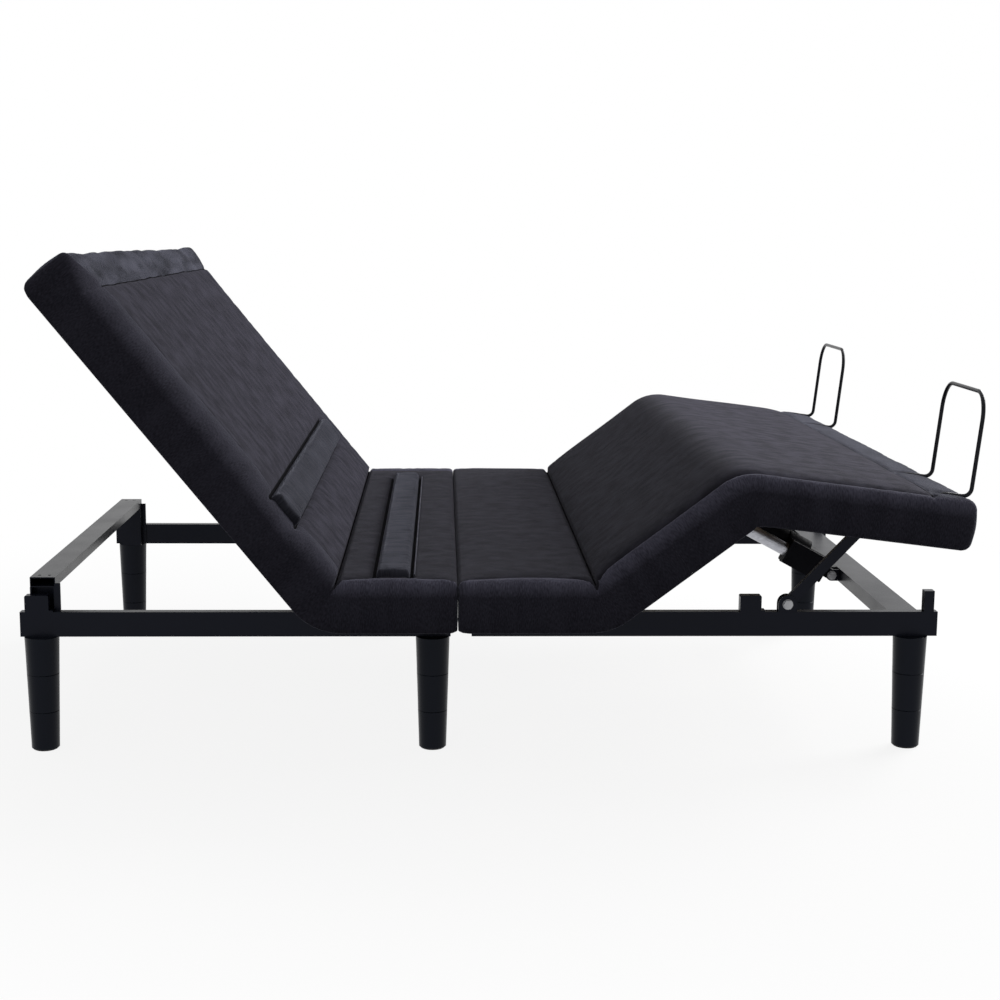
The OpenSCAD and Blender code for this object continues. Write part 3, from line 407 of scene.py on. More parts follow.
def swell(u0, u1, held, step, slack, cap):
    """Cloth simulation of a sheet over foam, from u0 to u1 and to the side edges: held tells
    which points are sewn down, slack is the share by which the cloth was cut too large, and
    the foam's push is a pressure. Returns a function of u and y for the heights, which
    level off at cap."""
    last_frame = 20
    u, y = np.arange(u0, u1 + step, step), np.arange(-half_w, half_w + step, step)
    uu, yy = np.meshgrid(u, y, indexing="ij")
    fixed = held(uu, yy)
    fixed[0], fixed[-1], fixed[:, 0], fixed[:, -1] = True, True, True, True
    height = np.zeros_like(uu)
    faces = quads(np.arange(uu.size).reshape(uu.shape))
    mesh = bpy.data.meshes.new("sheet")
    flat = np.stack([uu, yy, height], -1).reshape(-1, 3)
    mesh.from_pydata(flat.tolist(), [], faces.tolist())
    sheet = bpy.data.objects.new("sheet", mesh)
    studio.collection.objects.link(sheet)
    sewn = sheet.vertex_groups.new(name="sewn")
    sewn.add(np.flatnonzero(fixed).tolist(), 1.0, "REPLACE")
    cloth = sheet.modifiers.new("cloth", "CLOTH")
    cloth.point_cache.frame_start, cloth.point_cache.frame_end = 1, last_frame
    cloth.settings.vertex_group_mass = "sewn"
    cloth.settings.shrink_min = -slack
    cloth.settings.use_pressure = True
    cloth.settings.uniform_pressure_force = 4.0
    cloth.settings.effector_weights.gravity = 0.0
    for moment in range(1, last_frame + 1):
        studio.frame_set(moment)
    puffed = sheet.evaluated_get(bpy.context.evaluated_depsgraph_get()).data
    spots = np.zeros(uu.size * 3, np.float32)
    puffed.vertices.foreach_get("co", spots)
    height = cap * np.tanh(spots.reshape(*uu.shape, 3)[..., 2] / cap)
    studio.frame_set(1)
    bpy.data.objects.remove(sheet)
    bpy.data.meshes.remove(mesh)

    def at(a, b):
        i = np.clip((a - u[0]) / step, 0, len(u) - 1.001)
        j = np.clip((b - y[0]) / step, 0, len(y) - 1.001)
        m, n = i.astype(int), j.astype(int)
        p, q = i - m, j - n
        near = height[m, n] * (1 - p) + height[m + 1, n] * p
        return near * (1 - q) + (height[m, n + 1] * (1 - p) + height[m + 1, n + 1] * p) * q

    return at


class FoldLine:
    """Side view of a run of hinged sections. Lengths u are measured along the sections, and
    the slope turns evenly across each fold, which keeps the straight parts in their place:
    the line is the running sum of the slope's cosine and sine."""

    def __init__(self, first, slope, folds, anchor):
        """Starts with a slope, has folds of (place, turn, radius), and is at anchor at first."""
        gap = 0.0005
        u = np.arange(-0.85, 1.10, gap)
        turned, speed = np.full_like(u, slope), np.ones_like(u)
        for at, turn, radius in folds:
            half = radius * math.tan(abs(turn) / 2)
            part = (u - at + half) / (2 * half)
            turned += turn * np.clip(part, 0, 1)
            speed[(part > 0) & (part < 1)] = abs(turn) / (2 * math.tan(abs(turn) / 2))
        x = np.concatenate([[0], np.cumsum((speed * np.cos(turned))[:-1]) * gap])
        z = np.concatenate([[0], np.cumsum((speed * np.sin(turned))[:-1]) * gap])
        x += anchor[0] - np.interp(first, u, x)
        z += anchor[1] - np.interp(first, u, z)
        self.u, self.turned, self.x, self.z = u, turned, x, z

    def at(self, u, y, z):
        """Points at length u, width y and height z off the line."""
        slope = np.interp(u, self.u, self.turned)
        x = np.interp(u, self.u, self.x) - z * np.sin(slope)
        return np.stack([x, y, np.interp(u, self.u, self.z) + z * np.cos(slope)], -1)


def rounded(u, y, u0, u1, w, r):
    """Pulls points of a sharp rectangle into one with corners of radius r: in a corner
    square a point keeps its larger offset and moves along its direction. Returns the
    points and how far each is inside the outline."""
    mid, half = (u0 + u1) / 2, (u1 - u0) / 2
    du, dy = np.abs(u - mid) - (half - r), np.abs(y) - (w - r)
    corner = (du > 0) & (dy > 0)
    scale = np.where(corner, np.maximum(du, dy) / np.maximum(np.hypot(du, dy), 1e-9), 1)
    pu = mid + np.sign(u - mid) * (half - r + du * scale)
    py = np.sign(y) * (w - r + dy * scale)
    inside = r - np.hypot(np.maximum(du * scale, 0), np.maximum(dy * scale, 0))
    inside = np.where(corner | (du > 0) | (dy > 0), inside, np.minimum(-du, -dy) + r)
    return np.where(corner, pu, u), np.where(corner, py, y), inside


def build_piece(name, points, faces, kinds, finishes, cloth):
    """A mesh object whose faces take the finish that kinds numbers, with cloth, the sewn
    cloth's own coordinates in metres, as its UV map."""
    mesh = bpy.data.meshes.new(name)
    mesh.from_pydata(points.tolist(), [], faces.tolist())
    for finish in finishes:
        mesh.materials.append(finish.material)
    mesh.polygons.foreach_set("material_index", kinds.astype(np.int32))
    mesh.polygons.foreach_set("use_smooth", np.ones(len(faces), bool))
    corner = np.zeros(len(mesh.loops), np.int32)
    mesh.loops.foreach_get("vertex_index", corner)
    mesh.uv_layers.new(name="cloth").data.foreach_set("uv", cloth[corner].astype(np.float32).ravel())
    mesh.update()
    mesh.set_sharp_from_angle(angle=math.radians(50))
    piece = bpy.data.objects.new(name, mesh)
    studio.collection.objects.link(piece)
    return piece


def flush(u, y):
    """No change of length."""
    return 0 * u


def cover(name, line, u, y, ends, sides, seam, relief, zones, finishes, hem_rise=flush, pull=flush):
    """A padded cover with its turned-in hem, closed. Its top is a grid of the lines u and
    y, rounded in plan and over its edges; below it rows of the same rim go down the side,
    round under the hem and up the rail's inner face to a flat ceiling on the board.
    ends holds (plan radius, edge radius, wall, lowest height) of the two ends, and sides
    gives how far in and how far down the long edges are rounded. An end with a plan radius
    under cut_r is cut square, to meet the next cover. zones numbers the finish of each cell
    of the top; the sides take 1, the hem's inner face 2 and an end's face 3. hem_rise is
    how much shorter the side is at each u and y, and pull moves points along the bed."""
    cut_r = 0.001
    turn_w, end_w, end_blend = 0.03, 0.045, 0.02
    corner_run, corner_rise = 0.016, 0.014
    hem_r, side_bulge = 0.012, 0.0025
    (r0, e0, wall0, low0), (r1, e1, wall1, low1) = ends
    u0, u1 = u[0], u[-1]
    uu, yy = np.meshgrid(u, y, indexing="ij")
    yy = seam(uu, yy)
    first = uu < (u0 + u1) / 2

    def inset(part):
        """The grid's lines drawn into the outline moved inwards by part of the walls."""
        a, b, w = u0 + part * wall0, u1 - part * wall1, half_w - part * rail_t
        gu = a + (uu - u0) * (b - a) / (u1 - u0)
        gy = yy * w / half_w
        radii = [r if r < cut_r else max(r - part * rail_t, 0.002) for r in (r0, r1)]
        near, far = (rounded(gu, gy, a, b, w, r) for r in radii)
        return [np.where(first, p, q) for p, q in zip(near, far)]

    # The top: rounded over the edge that each point is nearest to, with its relief.
    gu, gy, inside = inset(0.0)
    at_cut = np.where(first, r0, r1) < cut_r
    inside = np.where(at_cut, half_w - np.abs(gy), inside)
    nearer = (half_w - np.abs(gy)) - np.minimum(gu - u0, u1 - gu)
    at_end = smooth(nearer / turn_w + 0.5) * ~at_cut
    wide, high = sides(gu, gy)
    at_edge = np.where(first, e0, e1)
    wide, high = wide + (at_edge - wide) * at_end, high + (at_edge - high) * at_end
    over = np.clip((wide - inside) / wide, 0, 1)
    gz = top_z - high * (1 - np.sqrt(1 - over**2)) + relief(gu, gy)
    rows = [np.stack([gu, gy, gz], -1).reshape(-1, 3)]

    # How low each point of the rim goes: an end has its own height up to end_w from the
    # long edges, and the hem draws up round the plan corners.
    rim_z = rim(gz)
    on_end = (np.abs(rim(uu) - u0) < 1e-9) | (np.abs(rim(uu) - u1) < 1e-9)
    end_face = on_end & np.roll(on_end, -1)
    end_low = np.where(rim(first), low0, low1)
    deep = np.where(on_end, smooth((np.abs(rim(yy)) - half_w + end_w) / end_blend), 1)
    to_end = np.minimum(rim(gu) - u0, u1 - rim(gu)) / corner_run
    corner = (1 - np.sqrt(1 - np.clip(1 - to_end, 0, 1) ** 2)) * ~rim(at_cut)
    rise = corner_rise * corner + hem_rise(rim(gu), rim(gy))
    low = low_z + (end_low - low_z) * (1 - deep) + rise * deep
    hem = hem_r * np.clip((low - ceiling_z) / (low_z - ceiling_z), 0.03, 1)

    def ring(part, z):
        """A row of the rim's points, part of the walls inwards and at the heights z."""
        ru, ry, _ = inset(part)
        return np.stack([rim(ru), rim(ry), z], -1)

    # The side, with a slight bulge; round under the hem; up inside; the ceiling.
    for t in np.linspace(0.14, 1, 7):
        share = 1 - t
        bulge = side_bulge * np.sin(math.pi * (1 - share))
        rows.append(ring(-bulge / rail_t, low + hem + (rim_z - low - hem) * share))
    for angle in np.radians([25, 50, 75, 90]):
        rows.append(ring(0.4 * (1 - math.cos(angle)), low + hem * (1 - math.sin(angle))))
    for part, share in ((0.7, 0.0), (1.0, 0.04), (1.0, 0.5), (1.0, 1.0)):
        rows.append(ring(part, low + (ceiling_z - low) * share))
    ru, ry, _ = inset(1.0)
    inner = np.stack([ru, ry, np.full_like(ru, ceiling_z)], -1)[1:-1, 1:-1]
    rows.append(inner.reshape(-1, 3))
    flat = np.concatenate(rows)
    flat[:, 0] += pull(flat[:, 0], flat[:, 1])

    # Faces: the top, the rings below it, of which the last three are lining, and the lid.
    nu, ny, loop = len(u), len(y), len(rim_z)
    grid = np.arange(nu * ny).reshape(nu, ny)
    faces, kinds = [quads(grid)], [zones(*centres(uu, yy)).ravel()]
    above = rim(grid)
    count, lining_rows = len(rows) - 2, 3
    for k in range(count):
        below = nu * ny + k * loop + np.arange(loop)
        faces.append(np.stack([below, np.roll(below, -1), np.roll(above, -1), above], -1))
        kinds.append(np.where(end_face, 3, 1) if k < count - lining_rows else np.full(loop, 2))
        above = below
    lid = np.zeros((nu, ny), int)
    lid[:-1, 0], lid[-1, :-1] = above[: nu - 1], above[nu - 1 : nu + ny - 2]
    lid[:0:-1, -1], lid[0, :0:-1] = above[nu + ny - 2 : 2 * nu + ny - 3], above[2 * nu + ny - 3 :]
    lid[1:-1, 1:-1] = (nu * ny + count * loop + np.arange((nu - 2) * (ny - 2))).reshape(nu - 2, ny - 2)
    faces.append(quads(lid)[:, ::-1])
    kinds.append(np.full((nu - 1) * (ny - 1), 2))

    # The cloth's own coordinates run on down the sides and the ends.
    drop = np.maximum(top_z - 0.02 - flat[:, 2], 0)
    down_end = np.abs(flat[:, 1]) < half_w - end_w
    cloth = flat[:, :2].copy()
    cloth[:, 1] += np.sign(flat[:, 1]) * drop * ~down_end
    cloth[:, 0] += np.where(flat[:, 0] < (u0 + u1) / 2, -1, 1) * drop * down_end
    points = line.at(*flat.T)
    return build_piece(name, points, np.concatenate(faces), np.concatenate(kinds), finishes, cloth)


def times(colour, k):
    """A colour k times as pale."""
    return [*(k * c for c in colour[:3]), 1]


def velour(name, dark, light, nap_turn=0.0, brushed=0.3, contrast=3.2, wear_and_sheen=1.0):
    """Cut pile: streaks where the pile leans, soft clouds where it was brushed, a fine
    pile bump, and sheen. The streaks run across the bed, down the sides. On top of the
    edge the pile can be painted paler by a given factor: a painted sheen where the edge
    catches the light."""
    pile = Finish(
        name, Roughness=0.9, Specular_IOR_Level=0.05,
        Sheen_Weight=0.26, Sheen_Roughness=0.28, Sheen_Tint=(0.66, 0.68, 0.82, 1),
    )  # fmt: skip
    cloth = pile.add("UVMap", {"uv_map": "cloth"})
    streaks = pile.noise(cloth, (560, 150, 1), 3.0, nap_turn)
    clouds = pile.noise(cloth, (26, 7, 1), 3.0, nap_turn)
    lean = streaks * (1 - brushed) + clouds * brushed
    tone = pile.add("Clamp", (), [contrast * (lean - 0.5) + 0.5])
    colour = pile.mix(tone, dark, light)
    if wear_and_sheen != 1.0:
        # Painted sheen: paler up to 9 mm from the edge, and fading over the next 17 mm, down the side.
        across = pile.add("SeparateXYZ", (), [cloth], out="Y")
        inwards = half_w + 0.008 - pile.add("Math", {"operation": "ABSOLUTE"}, [across])
        paler = pile.mix(tone, times(dark, wear_and_sheen), times(light, wear_and_sheen))
        colour = pile.mix(pile.add("Clamp", (), [inwards * 60]), colour, paler)
    pile.vary(Base_Color=colour)
    fuzz = pile.noise(cloth, (1500, 900, 1), 2.0)
    pile.bump(fuzz * 0.6 + streaks * 0.4, 0.0008)
    return pile


def woven(name, dark, light, turn_u=0.0, before=1.0, after=1.0):
    """Plain weave: two crossed sets of threads, each a wave, with slubs along both. Its colour
    is painted before times as pale up to turn_u, and after times beyond it: painted light on
    a section that faces the window lamp, painted shade on one that faces away."""
    weave = Finish(
        name, Roughness=0.95, Specular_IOR_Level=0.05,
        Sheen_Weight=0.08, Sheen_Roughness=0.5, Sheen_Tint=(0.8, 0.8, 0.9, 1),
    )  # fmt: skip
    cloth = weave.add("UVMap", {"uv_map": "cloth"})
    parts = [weave.add("SeparateXYZ", (), [cloth], out=k) for k in ("X", "Y")]
    warp, weft = (weave.add("Math", {"operation": "SINE"}, [3900 * p]) for p in parts)
    slubs = weave.noise(cloth, (520, 60, 1), 3.0) * 0.5 + weave.noise(cloth, (45, 420, 1), 3.0) * 0.5
    brushed = weave.noise(cloth, (8, 32, 1), 4.0)
    mottle = weave.noise(cloth, (26, 34, 1), 5.0)
    tone = weave.add("Clamp", (), [6.0 * (slubs * 0.22 + brushed * 0.23 + mottle * 0.55) - 2.5])
    faces = [weave.mix(tone, times(dark, k), times(light, k)) for k in (before, after)]
    past = weave.add("Clamp", (), [(parts[0] - turn_u) * 40])
    weave.vary(Base_Color=weave.mix(past, *faces))
    weave.bump(warp * weft * 0.25 + slubs, 0.0004)
    return weave


weave_tones = (0.014, 0.0132, 0.0190, 1), (0.036, 0.0343, 0.0475, 1)
side_tones = (0.0205, 0.0198, 0.0280, 1), (0.0440, 0.0426, 0.0590, 1)
border_tones = (0.008, 0.0082, 0.0115, 1), (0.092, 0.093, 0.121, 1)
# The back, which faces the window lamp, is painted 1.2 times as pale and the seat 0.66 times: painted
# light and shade.
panel_cloth = woven("panel_weave", *weave_tones, turn_u=-0.012, before=1.20, after=0.66)
side_velour = velour("side_velour", *side_tones, 0.15, contrast=4.4)
# The near edges' velour, with a painted sheen along the top of the edge.
edge_velour = velour("edge_velour", *side_tones, 0.15, contrast=4.4, wear_and_sheen=2.1)
border_velour = velour("border_velour", *border_tones, 0.7, brushed=0.45, contrast=5.5)
# The hem's dark lining. Its finish is also painted along the seams, as the shade in their grooves and the
# thread.
lining_and_seam_shade = Finish("hem_lining", Roughness=0.95, Specular_IOR_Level=0.02)
felted = lining_and_seam_shade.noise(lining_and_seam_shade.place(), (500, 500, 500), 4.0)
lining_and_seam_shade.vary(Base_Color=lining_and_seam_shade.mix(felted, (0.003, 0.003, 0.004, 1), (0.010, 0.010, 0.012, 1)))
lining_and_seam_shade.bump(felted, 0.0005)

# Lengths u run from the hip: the back is 780 mm long, towards negative u, and the seat's
# part ends just before the gap of the halves.
back_angle, head_u0, seat_u = math.radians(51), 0.780, joint_x - hip[0] - half_gap
head_line = FoldLine(seat_u, -back_angle, [(0.0, back_angle, 0.054)], (hip[0] + seat_u, hip[2]))

# Seams: the head border's, the near panel seam as drawn on the flat grid and where it lies
# along the back and along the edges, and the far one. Then the two raised strips.
border_u, near_ref, back_seam_y, edge_seam_y, far_ref = -0.705, -0.690, -0.655, -0.742, 0.700
seat_strip_u = [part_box("seat_strip")[k].x - hip[0] for k in (0, 1)]
back_strip_u = [-0.211, -0.139]
strip_y = [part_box("seat_strip")[k].y for k in (0, 1)]


def pillow(t, power=8):
    """Fullness between two seams: 1 in the middle, 0 at t=0 and t=1, round at its ends."""
    return 1 - np.abs(2 * np.clip(t, 0, 1) - 1) ** power


def seat_seam(t):
    """Near panel seam of a seat part, bowed out to the edge at its ends t=0 and t=1."""
    return edge_seam_y + 0.030 * pillow(t, 4)


def near_seam(u):
    """Near panel seam: straight on the back, out to the corner over the head border, and
    bowed on the seat."""
    seat = seat_seam(u / seat_u)
    back = back_seam_y - 0.072 * smooth((border_u - u) / 0.06)
    return np.where(u < 0, back + (seat - back_seam_y) * smooth(1 + u / 0.03), seat)


def follow(target, ref, u, y):
    """Moves the grid line at ref to target(u), its neighbours less the further they are:
    inwards down to none at 200 mm, outwards to none in the last 22 mm before the edge."""
    from_edge = np.abs(y) - half_w + 0.022
    out = np.clip(from_edge / (abs(ref) - half_w + 0.022), 0, 1)
    share = np.where(np.abs(y) > abs(ref), out, np.clip(1 - (abs(ref) - np.abs(y)) / 0.2, 0, 1))
    return y + (target(u) - ref) * share * (np.sign(y) == np.sign(ref))


def head_seam(u, y):
    """The grid of the head half with one of its lines laid along the near seam."""
    return follow(near_seam, near_ref, u, y)


def groove(t, depth, width=0.004):
    """A sewn groove along t=0, a bell in section."""
    return -depth * dip(t / width)


def strip_grooves(u, y, edges):
    """Grooves along both edges of a strip, from 12 mm before one end to 12 mm past the other."""
    along = smooth((y - strip_y[0] + 0.012) / 0.01) * smooth((strip_y[1] + 0.012 - y) / 0.01)
    return sum(groove(u - e, 0.007, 0.006) for e in edges) * along


# Half widths of what holds the cover down, a seam and a crease; then those of the dark
# lines painted along the seams, the shade in their grooves and the thread, and where
# those lines start at the near side.
seam_hold, crease_hold = 0.007, 0.010
strip_shade_line, crease_shade_line, border_shade_line = 0.0045, 0.0028, 0.0015
crease_shade_from, border_shade_from = -0.73, -0.66


def head_sewn(u, y):
    """Where the cover is held down: its seams, the hip crease and under the two strips."""
    strips = (y > strip_y[0] - 0.01) & (y < strip_y[1] + 0.01)
    under = [(u > low - 0.008) & (u < high + 0.008) for low, high in (seat_strip_u, back_strip_u)]
    return (
        (np.abs(u) < crease_hold)
        | (np.abs(u - border_u) < seam_hold)
        | ((np.abs(y - near_seam(u)) < seam_hold) & (u > 0))
        | ((np.abs(y - far_ref) < seam_hold) & (u > border_u))
        | ((under[0] | under[1]) & strips)
    )


head_puff = swell(-head_u0, seat_u, head_sewn, step=0.012, slack=0.004, cap=0.006)


def edge_band(u, y, seam):
    """The strip of cover between the near edge and its seam, crowned by 3 mm."""
    return 0.003 * np.sin(math.pi * np.clip((y + half_w) / (seam(u) + half_w), 0, 1))


def head_relief(u, y):
    """Heights on the head half: full between the seams, grooved at them, and rippled at
    the head border, where the cover is gathered over the end of the board."""
    across = 1 - np.abs(y / half_w) ** 6
    back = 0.003 * pillow((u + head_u0) / head_u0) * across * (u < 0)
    seat = 0.001 * pillow(u / seat_u) * across * (u >= 0)
    border = smooth((border_u + 0.015 - u) / 0.02)
    ripples = border * 0.0036 * soft_noise(u * 9 + y * 5, y * 15, 3)
    corner = 0.006 * dip((u + head_u0 - 0.01) / 0.06) * dip((np.abs(y) - 0.74) / 0.10)
    drape = 0.0012 * soft_noise(u * 6, y * 7, 4)
    inner = (u > border_u - 0.01) * 1.0
    near_depth = 0.0010 + 0.0012 * (u > 0)
    panel_seams = groove(y - near_seam(u), near_depth) + groove(y - far_ref, 0.0022)
    seams = groove(u - border_u, 0.003) + inner * panel_seams
    strips = strip_grooves(u, y, seat_strip_u) + strip_grooves(u, y, back_strip_u)
    return (
        back + seat + ripples + corner + drape + seams + edge_band(u, y, near_seam) + strips
        + head_puff(u, y) + groove(u, 0.010, 0.008)
    )  # fmt: skip


def head_zones(u, y):
    """0 woven panel, 1 velour of the back's side, 2 dark lining painted along the seams, the
    shade in their grooves and the thread, 3 velour of the head border, 4 velour of the
    seat's edges."""
    panel = (u > border_u) & (y > near_seam(u)) & (y < far_ref)
    beside = [np.abs(u - e) < strip_shade_line for e in (*seat_strip_u, *back_strip_u)]
    shade_line = np.any(beside, axis=0) & (y > strip_y[0]) & (y < strip_y[1])
    shade_line = shade_line | ((np.abs(u) < crease_shade_line) & (y > crease_shade_from))
    shade_line = shade_line | ((np.abs(u - border_u) < border_shade_line) & (y > border_shade_from))
    border = (u < border_u) & (y > near_seam(u))
    return np.select([shade_line, panel, border, u > 0], [2, 0, 3, 4], 1)


def head_edges(u, y):
    """How far in and how far down the long edges are rounded. The back's near edge is worn
    round over almost 100 mm; the seat's near edge and both far edges are crisper."""
    wear_and_sheen = smooth((-0.02 - u) / 0.16) * smooth((u + head_u0) / 0.10) * (y < 0)
    near = (y < 0) * smooth(1 + u / 0.25)
    return 0.028 + 0.070 * wear_and_sheen + 0.017 * near, 0.018 + 0.010 * wear_and_sheen + 0.014 * near


# Grid lines lie closer at the seams, at both edges of each strip, at the hip and over edges.
edge_r, head_end_r, meet_r = 0.030, 0.016, 0.009
(back_a, back_b), (seat_a, seat_b) = back_strip_u, seat_strip_u
head_y = grid_lines(
    -half_w, edge_r, 0.0065, (-0.694, 0.004), (-0.686, 0.008), (-0.62, 0.020), (0.60, 0.016),
    (0.690, 0.005), (0.710, 0.007), end=half_w, r1=edge_r,
)  # fmt: skip
head_u = grid_lines(
    -head_u0, head_end_r, 0.007, (border_u - 0.007, 0.0028), (border_u + 0.007, 0.010),
    (back_a - 0.014, 0.0028), (back_a + 0.012, 0.009), (back_b - 0.014, 0.0028), (back_b + 0.012, 0.010),
    (-0.044, 0.0035), (-0.0112, 0.0028), (0.0112, 0.0035), (0.044, 0.009),
    (seat_a - 0.014, 0.0028), (seat_a + 0.012, 0.009), (seat_b - 0.013, 0.0028), (seat_b + 0.013, 0.010),
    end=seat_u, r1=meet_r,
)  # fmt: skip


def head_pull(u, y):
    """The head end stands out 7.5 mm at its near corner and less towards the far one."""
    return -0.0075 * smooth((-0.70 - u) / 0.08) * smooth(0.6 - y / 0.9)


# The end that meets the other half is a thin wall, which stops above the sides' hem.
head_end, meet_end = (0.014, 0.014, rail_t, low_z), (0.012, 0.009, 0.0012, -0.012)
head_cover = cover(
    "head_half_cover", head_line, head_u, head_y, (head_end, meet_end),
    head_edges, head_seam, head_relief, head_zones,
    [panel_cloth, side_velour, lining_and_seam_shade, border_velour, edge_velour], pull=head_pull,
)  # fmt: skip
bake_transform(head_cover)
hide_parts("back_pad", "back_skirts", "seat_head_pad", "seat_skirts")

# ---- Foot half of the cover ----
# The second cover runs over the seat's foot part, the thigh and the calf sections, with
# its panel seams out at the edges and a velour border across the foot end. It is made in
# two pieces that meet on the thigh, where nothing bends.

# Lengths u run from the gap of the halves over the crease and the knee to the foot end.
thigh_angle, calf_drop = math.atan2(knee[2] - crease[2], knee[0] - crease[0]), math.radians(7)
crease_u = crease[0] - joint_x
knee_u = crease_u + math.dist(crease, knee)
foot_u0, split_u, foot_u1 = half_gap, crease_u + 0.167, knee_u + 0.438
foot_line = FoldLine(
    foot_u0, 0.0,
    [(crease_u, thigh_angle, 0.060), (knee_u, -thigh_angle - calf_drop, 0.068)],
    (joint_x + foot_u0, hip[2]),
)  # fmt: skip
# The border's seam, both panel seams as drawn on the flat grid, the near end of the border
# and the places of the retainers' wires.
foot_border_u, foot_ref, border_from = knee_u + 0.353, 0.722, -0.736
wires_y = (0.431, 0.689)


def foot_near_seam(u):
    """Near panel seam: bowed on the seat, then straight, 20 mm in, along both leg sections."""
    legs = edge_seam_y + 0.020 * smooth((u - crease_u) / 0.05)
    return np.where(u < crease_u, seat_seam(u / crease_u), legs)


def foot_seam(u, y):
    """The grid of the foot half with one of its lines laid along the near seam."""
    return follow(foot_near_seam, -foot_ref, u, y)


def foot_sewn(u, y):
    """Where the cover is held down: its seams and the crease of the thigh."""
    return (
        (np.abs(u - crease_u) < crease_hold)
        | (np.abs(u - foot_border_u) < seam_hold)
        | ((np.abs(y - foot_near_seam(u)) < seam_hold) & (u < foot_border_u))
    )


foot_puff = swell(foot_u0, foot_u1, foot_sewn, step=0.012, slack=0.003, cap=0.006)


def foot_relief(u, y):
    """Heights on the foot half: full seat, thigh and calf, a soft knee, grooves at the
    crease and the border seam, and dents under the wires of the mattress retainers."""
    across = 1 - np.abs(y / half_w) ** 18
    seat = 0.001 * pillow(u / crease_u) * (u < crease_u)
    leg_run = (u - crease_u) / (foot_u1 - crease_u)
    legs = 0.007 * pillow(leg_run, 12) * (u >= crease_u)
    knee_lift = 0.002 * dip((u - knee_u) / 0.08)
    drape = 0.0010 * soft_noise(u * 6, y * 7, 14)
    pressed = sum(dip((np.abs(y) - wire) / 0.012) for wire in wires_y)
    pressed = np.clip(pressed, 0, 1) * smooth((u - knee_u - 0.350) / 0.022)
    border = smooth((u - foot_border_u) / 0.02)
    ripples = border * 0.0007 * soft_noise(u * 9 - y * 4, y * 15, 13)
    inner = u < foot_border_u + 0.01
    panel_seams = groove(y - foot_near_seam(u), 0.0025) + groove(y - foot_ref, 0.0018)
    seams = groove(u - foot_border_u, 0.003) * smooth((y + 0.745) / 0.02) + inner * panel_seams
    full = (seat + legs + knee_lift) * across + drape + ripples
    full = full + edge_band(u, y, foot_near_seam) + foot_puff(u, y)
    return full * (1 - pressed) + seams + groove(u - crease_u, 0.009, 0.008)


def foot_zones(u, y):
    """0 woven panel, 1 velour of the sides, 2 dark lining painted along the seams, the shade
    in their grooves and the thread, 3 velour of the foot border.
    """
    panel = (u < foot_border_u) & (y > foot_near_seam(u)) & (y < foot_ref)
    shade_line = (np.abs(u - crease_u) < crease_shade_line) & (y > crease_shade_from)
    shade_line = shade_line | ((np.abs(u - foot_border_u) < border_shade_line) & (y > border_from))
    border = (u > foot_border_u) & (y > border_from)
    return np.select([shade_line, panel, border], [2, 0, 3], 1)


def foot_edges(u, y):
    """How far in and how far down the long edges are rounded, more so on the near side."""
    return 0.028 + 0.017 * (y < 0), 0.018 + 0.012 * (y < 0)


def calf_hem(u, y):
    """The calf's side is 7 mm shorter than the thigh's."""
    return 0.007 * smooth((u - knee_u) / 0.06)


# The seat and the thigh, which faces away from the window lamp, are painted 0.66 times as pale, and the
# calf, which faces it, 1.4 times: painted shade and light.
leg_cloth = woven("leg_panel_weave", *weave_tones, turn_u=knee_u - 0.01, before=0.66, after=1.40)
foot_tones = (0.024, 0.0242, 0.0330, 1), (0.070, 0.0710, 0.0930, 1)
foot_velour = velour("foot_border_velour", *foot_tones, 0.5, brushed=0.5)
foot_finishes = [leg_cloth, edge_velour, lining_and_seam_shade, foot_velour]
foot_y = grid_lines(
    -half_w, edge_r, 0.0035, (-0.7185, 0.006), (-0.662, 0.014), (-0.46, 0.007), (-0.40, 0.018),
    (0.40, 0.007), (0.46, 0.014), (0.662, 0.006), (0.7185, 0.0035), end=half_w, r1=edge_r,
)  # fmt: skip
thigh_cover_u = grid_lines(
    foot_u0, meet_r, 0.012, (crease_u - 0.044, 0.0035), (crease_u - 0.0112, 0.0028),
    (crease_u + 0.0112, 0.0035), (crease_u + 0.044, 0.012), end=split_u, r1=0,
)  # fmt: skip
calf_cover_u = grid_lines(
    split_u, 0, 0.012, (knee_u - 0.05, 0.005), (knee_u + 0.05, 0.010), (foot_border_u - 0.010, 0.0028),
    (foot_border_u + 0.010, 0.007), end=foot_u1, r1=0.022,
)  # fmt: skip
# The cut ends have no radius and go down to the board; the foot end is well rounded.
cut_end, foot_end = (0.0005, 1e-6, 0.0004, ceiling_z - 0.0005), (0.030, 0.022, rail_t, low_z)
thigh_cover = cover(
    "foot_half_cover_seat", foot_line, thigh_cover_u, foot_y, (meet_end, cut_end),
    foot_edges, foot_seam, foot_relief, foot_zones, foot_finishes,
)  # fmt: skip
calf_cover = cover(
    "foot_half_cover_calf", foot_line, calf_cover_u, foot_y, (cut_end, foot_end),
    foot_edges, foot_seam, foot_relief, foot_zones, foot_finishes, hem_rise=calf_hem,
)  # fmt: skip
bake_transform(thigh_cover)
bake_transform(calf_cover)
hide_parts("seat_foot_pad", "thigh_pad", "thigh_skirts")
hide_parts("calf_pad", "calf_skirts")

# ---- Raised strips ----
# Two narrow velour cushions, sewn across the seat and the foot of the back to stop the
# mattress from sliding. The seat strip has thin piping, a shade paler, on its foot side.
strip_tones = (0.016, 0.0162, 0.022, 1), (0.050, 0.051, 0.066, 1)
strip_velour = velour("strip_velour", *strip_tones, 0.5, brushed=0.5)


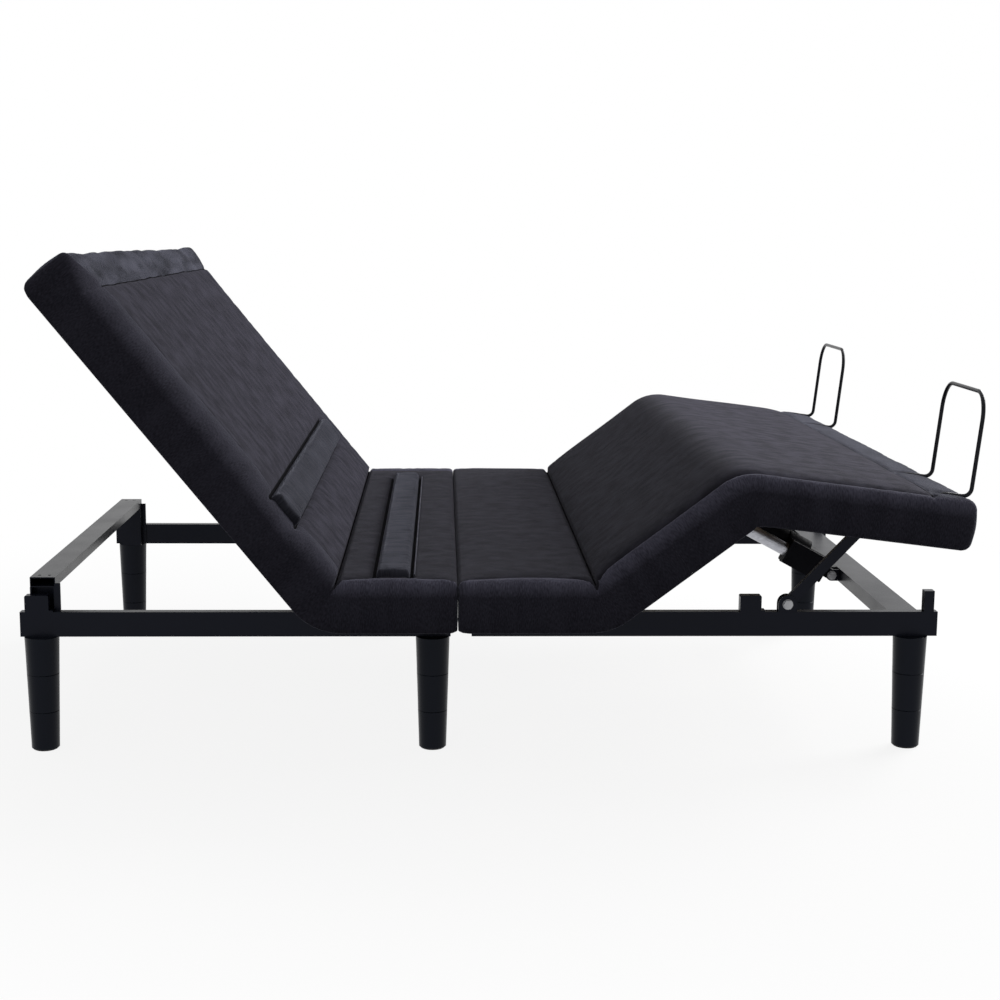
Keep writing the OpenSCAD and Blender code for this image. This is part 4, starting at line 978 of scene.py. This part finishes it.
def strip(name, line, edges, body, stands_for, seed):
    """A long cushion, about 13 mm high, with steep rounded edges, on top of the cover's
    own height. Its own cloth simulation puckers it along the seams that hold it down."""
    round_r, corner_r, tall, sunk, margin = 0.009, 0.010, 0.0125, 0.006, 0.002
    low_y, high_y = strip_y[0] + margin, strip_y[1] - margin
    low_u, high_u = edges[0] + margin, edges[1] - margin
    u = grid_lines(low_u, round_r, (high_u - low_u - 2 * round_r) / 8, end=high_u, r1=round_r)
    y = grid_lines(low_y, round_r, (high_y - low_y - 2 * round_r) / 179, end=high_y, r1=round_r)
    uu, yy = np.meshgrid(u, y, indexing="ij")
    mid_y, reach_y = (low_y + high_y) / 2, (high_y - low_y) / 2
    pu, py, inside = rounded(uu, yy - mid_y, low_u, high_u, reach_y, corner_r)
    py += mid_y
    over = np.clip(1 - inside / round_r, 0, 1)

    def beyond(a, b):
        return (b < low_y) | (b > high_y)

    puff = swell(low_u, high_u, beyond, step=0.006, slack=0.010, cap=0.004)
    base = head_relief(pu, py) - strip_grooves(pu, py, edges)
    ripple = 0.0012 * soft_noise(pu * 25, py * 30, seed) + puff(pu, py)
    high = top_z + base + (tall + ripple) * np.sqrt(np.maximum(1 - over**2, 0))
    low = top_z + base - sunk
    flat = np.concatenate([np.stack([pu, py, h], -1).reshape(-1, 3) for h in (high, low)])
    grid = np.arange(uu.size).reshape(uu.shape)
    top, loop = quads(grid), rim(grid)
    nxt = np.roll(loop, -1)
    sides = np.stack([loop + uu.size, nxt + uu.size, nxt, loop], -1)
    faces = np.concatenate([top, sides, top[:, ::-1] + uu.size])
    kinds, cloth = np.zeros(len(faces)), flat[:, :2].copy()
    piece = build_piece(name, line.at(*flat.T), faces, kinds, [strip_velour], cloth)
    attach(piece, body)
    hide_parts(stands_for)


strip("seat_strip_cushion", head_line, seat_strip_u, "base", "seat_strip", 21)
strip("back_strip_cushion", head_line, back_strip_u, "back_section", "back_strip", 22)

# Piping along the foot side of the seat strip: a 3 mm cord in a bias-cut sleeve, as rings
# of eight points, with both ends closed by three quads.
piping_cloth = woven("piping_weave", (0.05, 0.05, 0.065, 1), (0.11, 0.11, 0.135, 1))
piping_u, piping_r, piping_z = seat_strip_u[1] + 0.0065, 0.0016, 0.0035
along, around = np.linspace(strip_y[0] + 0.012, strip_y[1] - 0.012, 160), np.radians(np.arange(0, 360, 45))
yy, angle = np.meshgrid(along, around, indexing="ij")
bed_z = top_z + head_relief(piping_u + 0 * yy, yy)
rings = [piping_u + piping_r * np.cos(angle), yy, bed_z + piping_z + piping_r * np.sin(angle)]
flat = np.stack(rings, -1).reshape(-1, 3)
count = np.arange(yy.size).reshape(yy.shape)
wrap = np.roll(count, -1, axis=1)
sleeve = np.stack([count[:-1], count[1:], wrap[1:], wrap[:-1]], -1).reshape(-1, 4)
lid = np.array([[0, 1, 2, 3], [0, 3, 4, 7], [4, 5, 6, 7]])
faces = np.concatenate([sleeve, count[0][lid], count[-1][lid[:, ::-1]]])
piping = build_piece(
    "seat_strip_piping", head_line.at(*flat.T), faces, np.zeros(len(faces)), [piping_cloth],
    flat[:, 1::-1].copy(),
)  # fmt: skip
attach(piping, "base")

# ---- Mattress retainers ----
# Eight millimetre wire loops, powder-coated black, that come up through slits in the
# cover, lie on it and stand up at the foot end to hold the mattress.
wire_coat = powder_coat("wire_coat", (0.006, 0.006, 0.008, 1), (0.012, 0.012, 0.015, 1), rough=0.2)
dress(wire_coat, "retainer_bars")
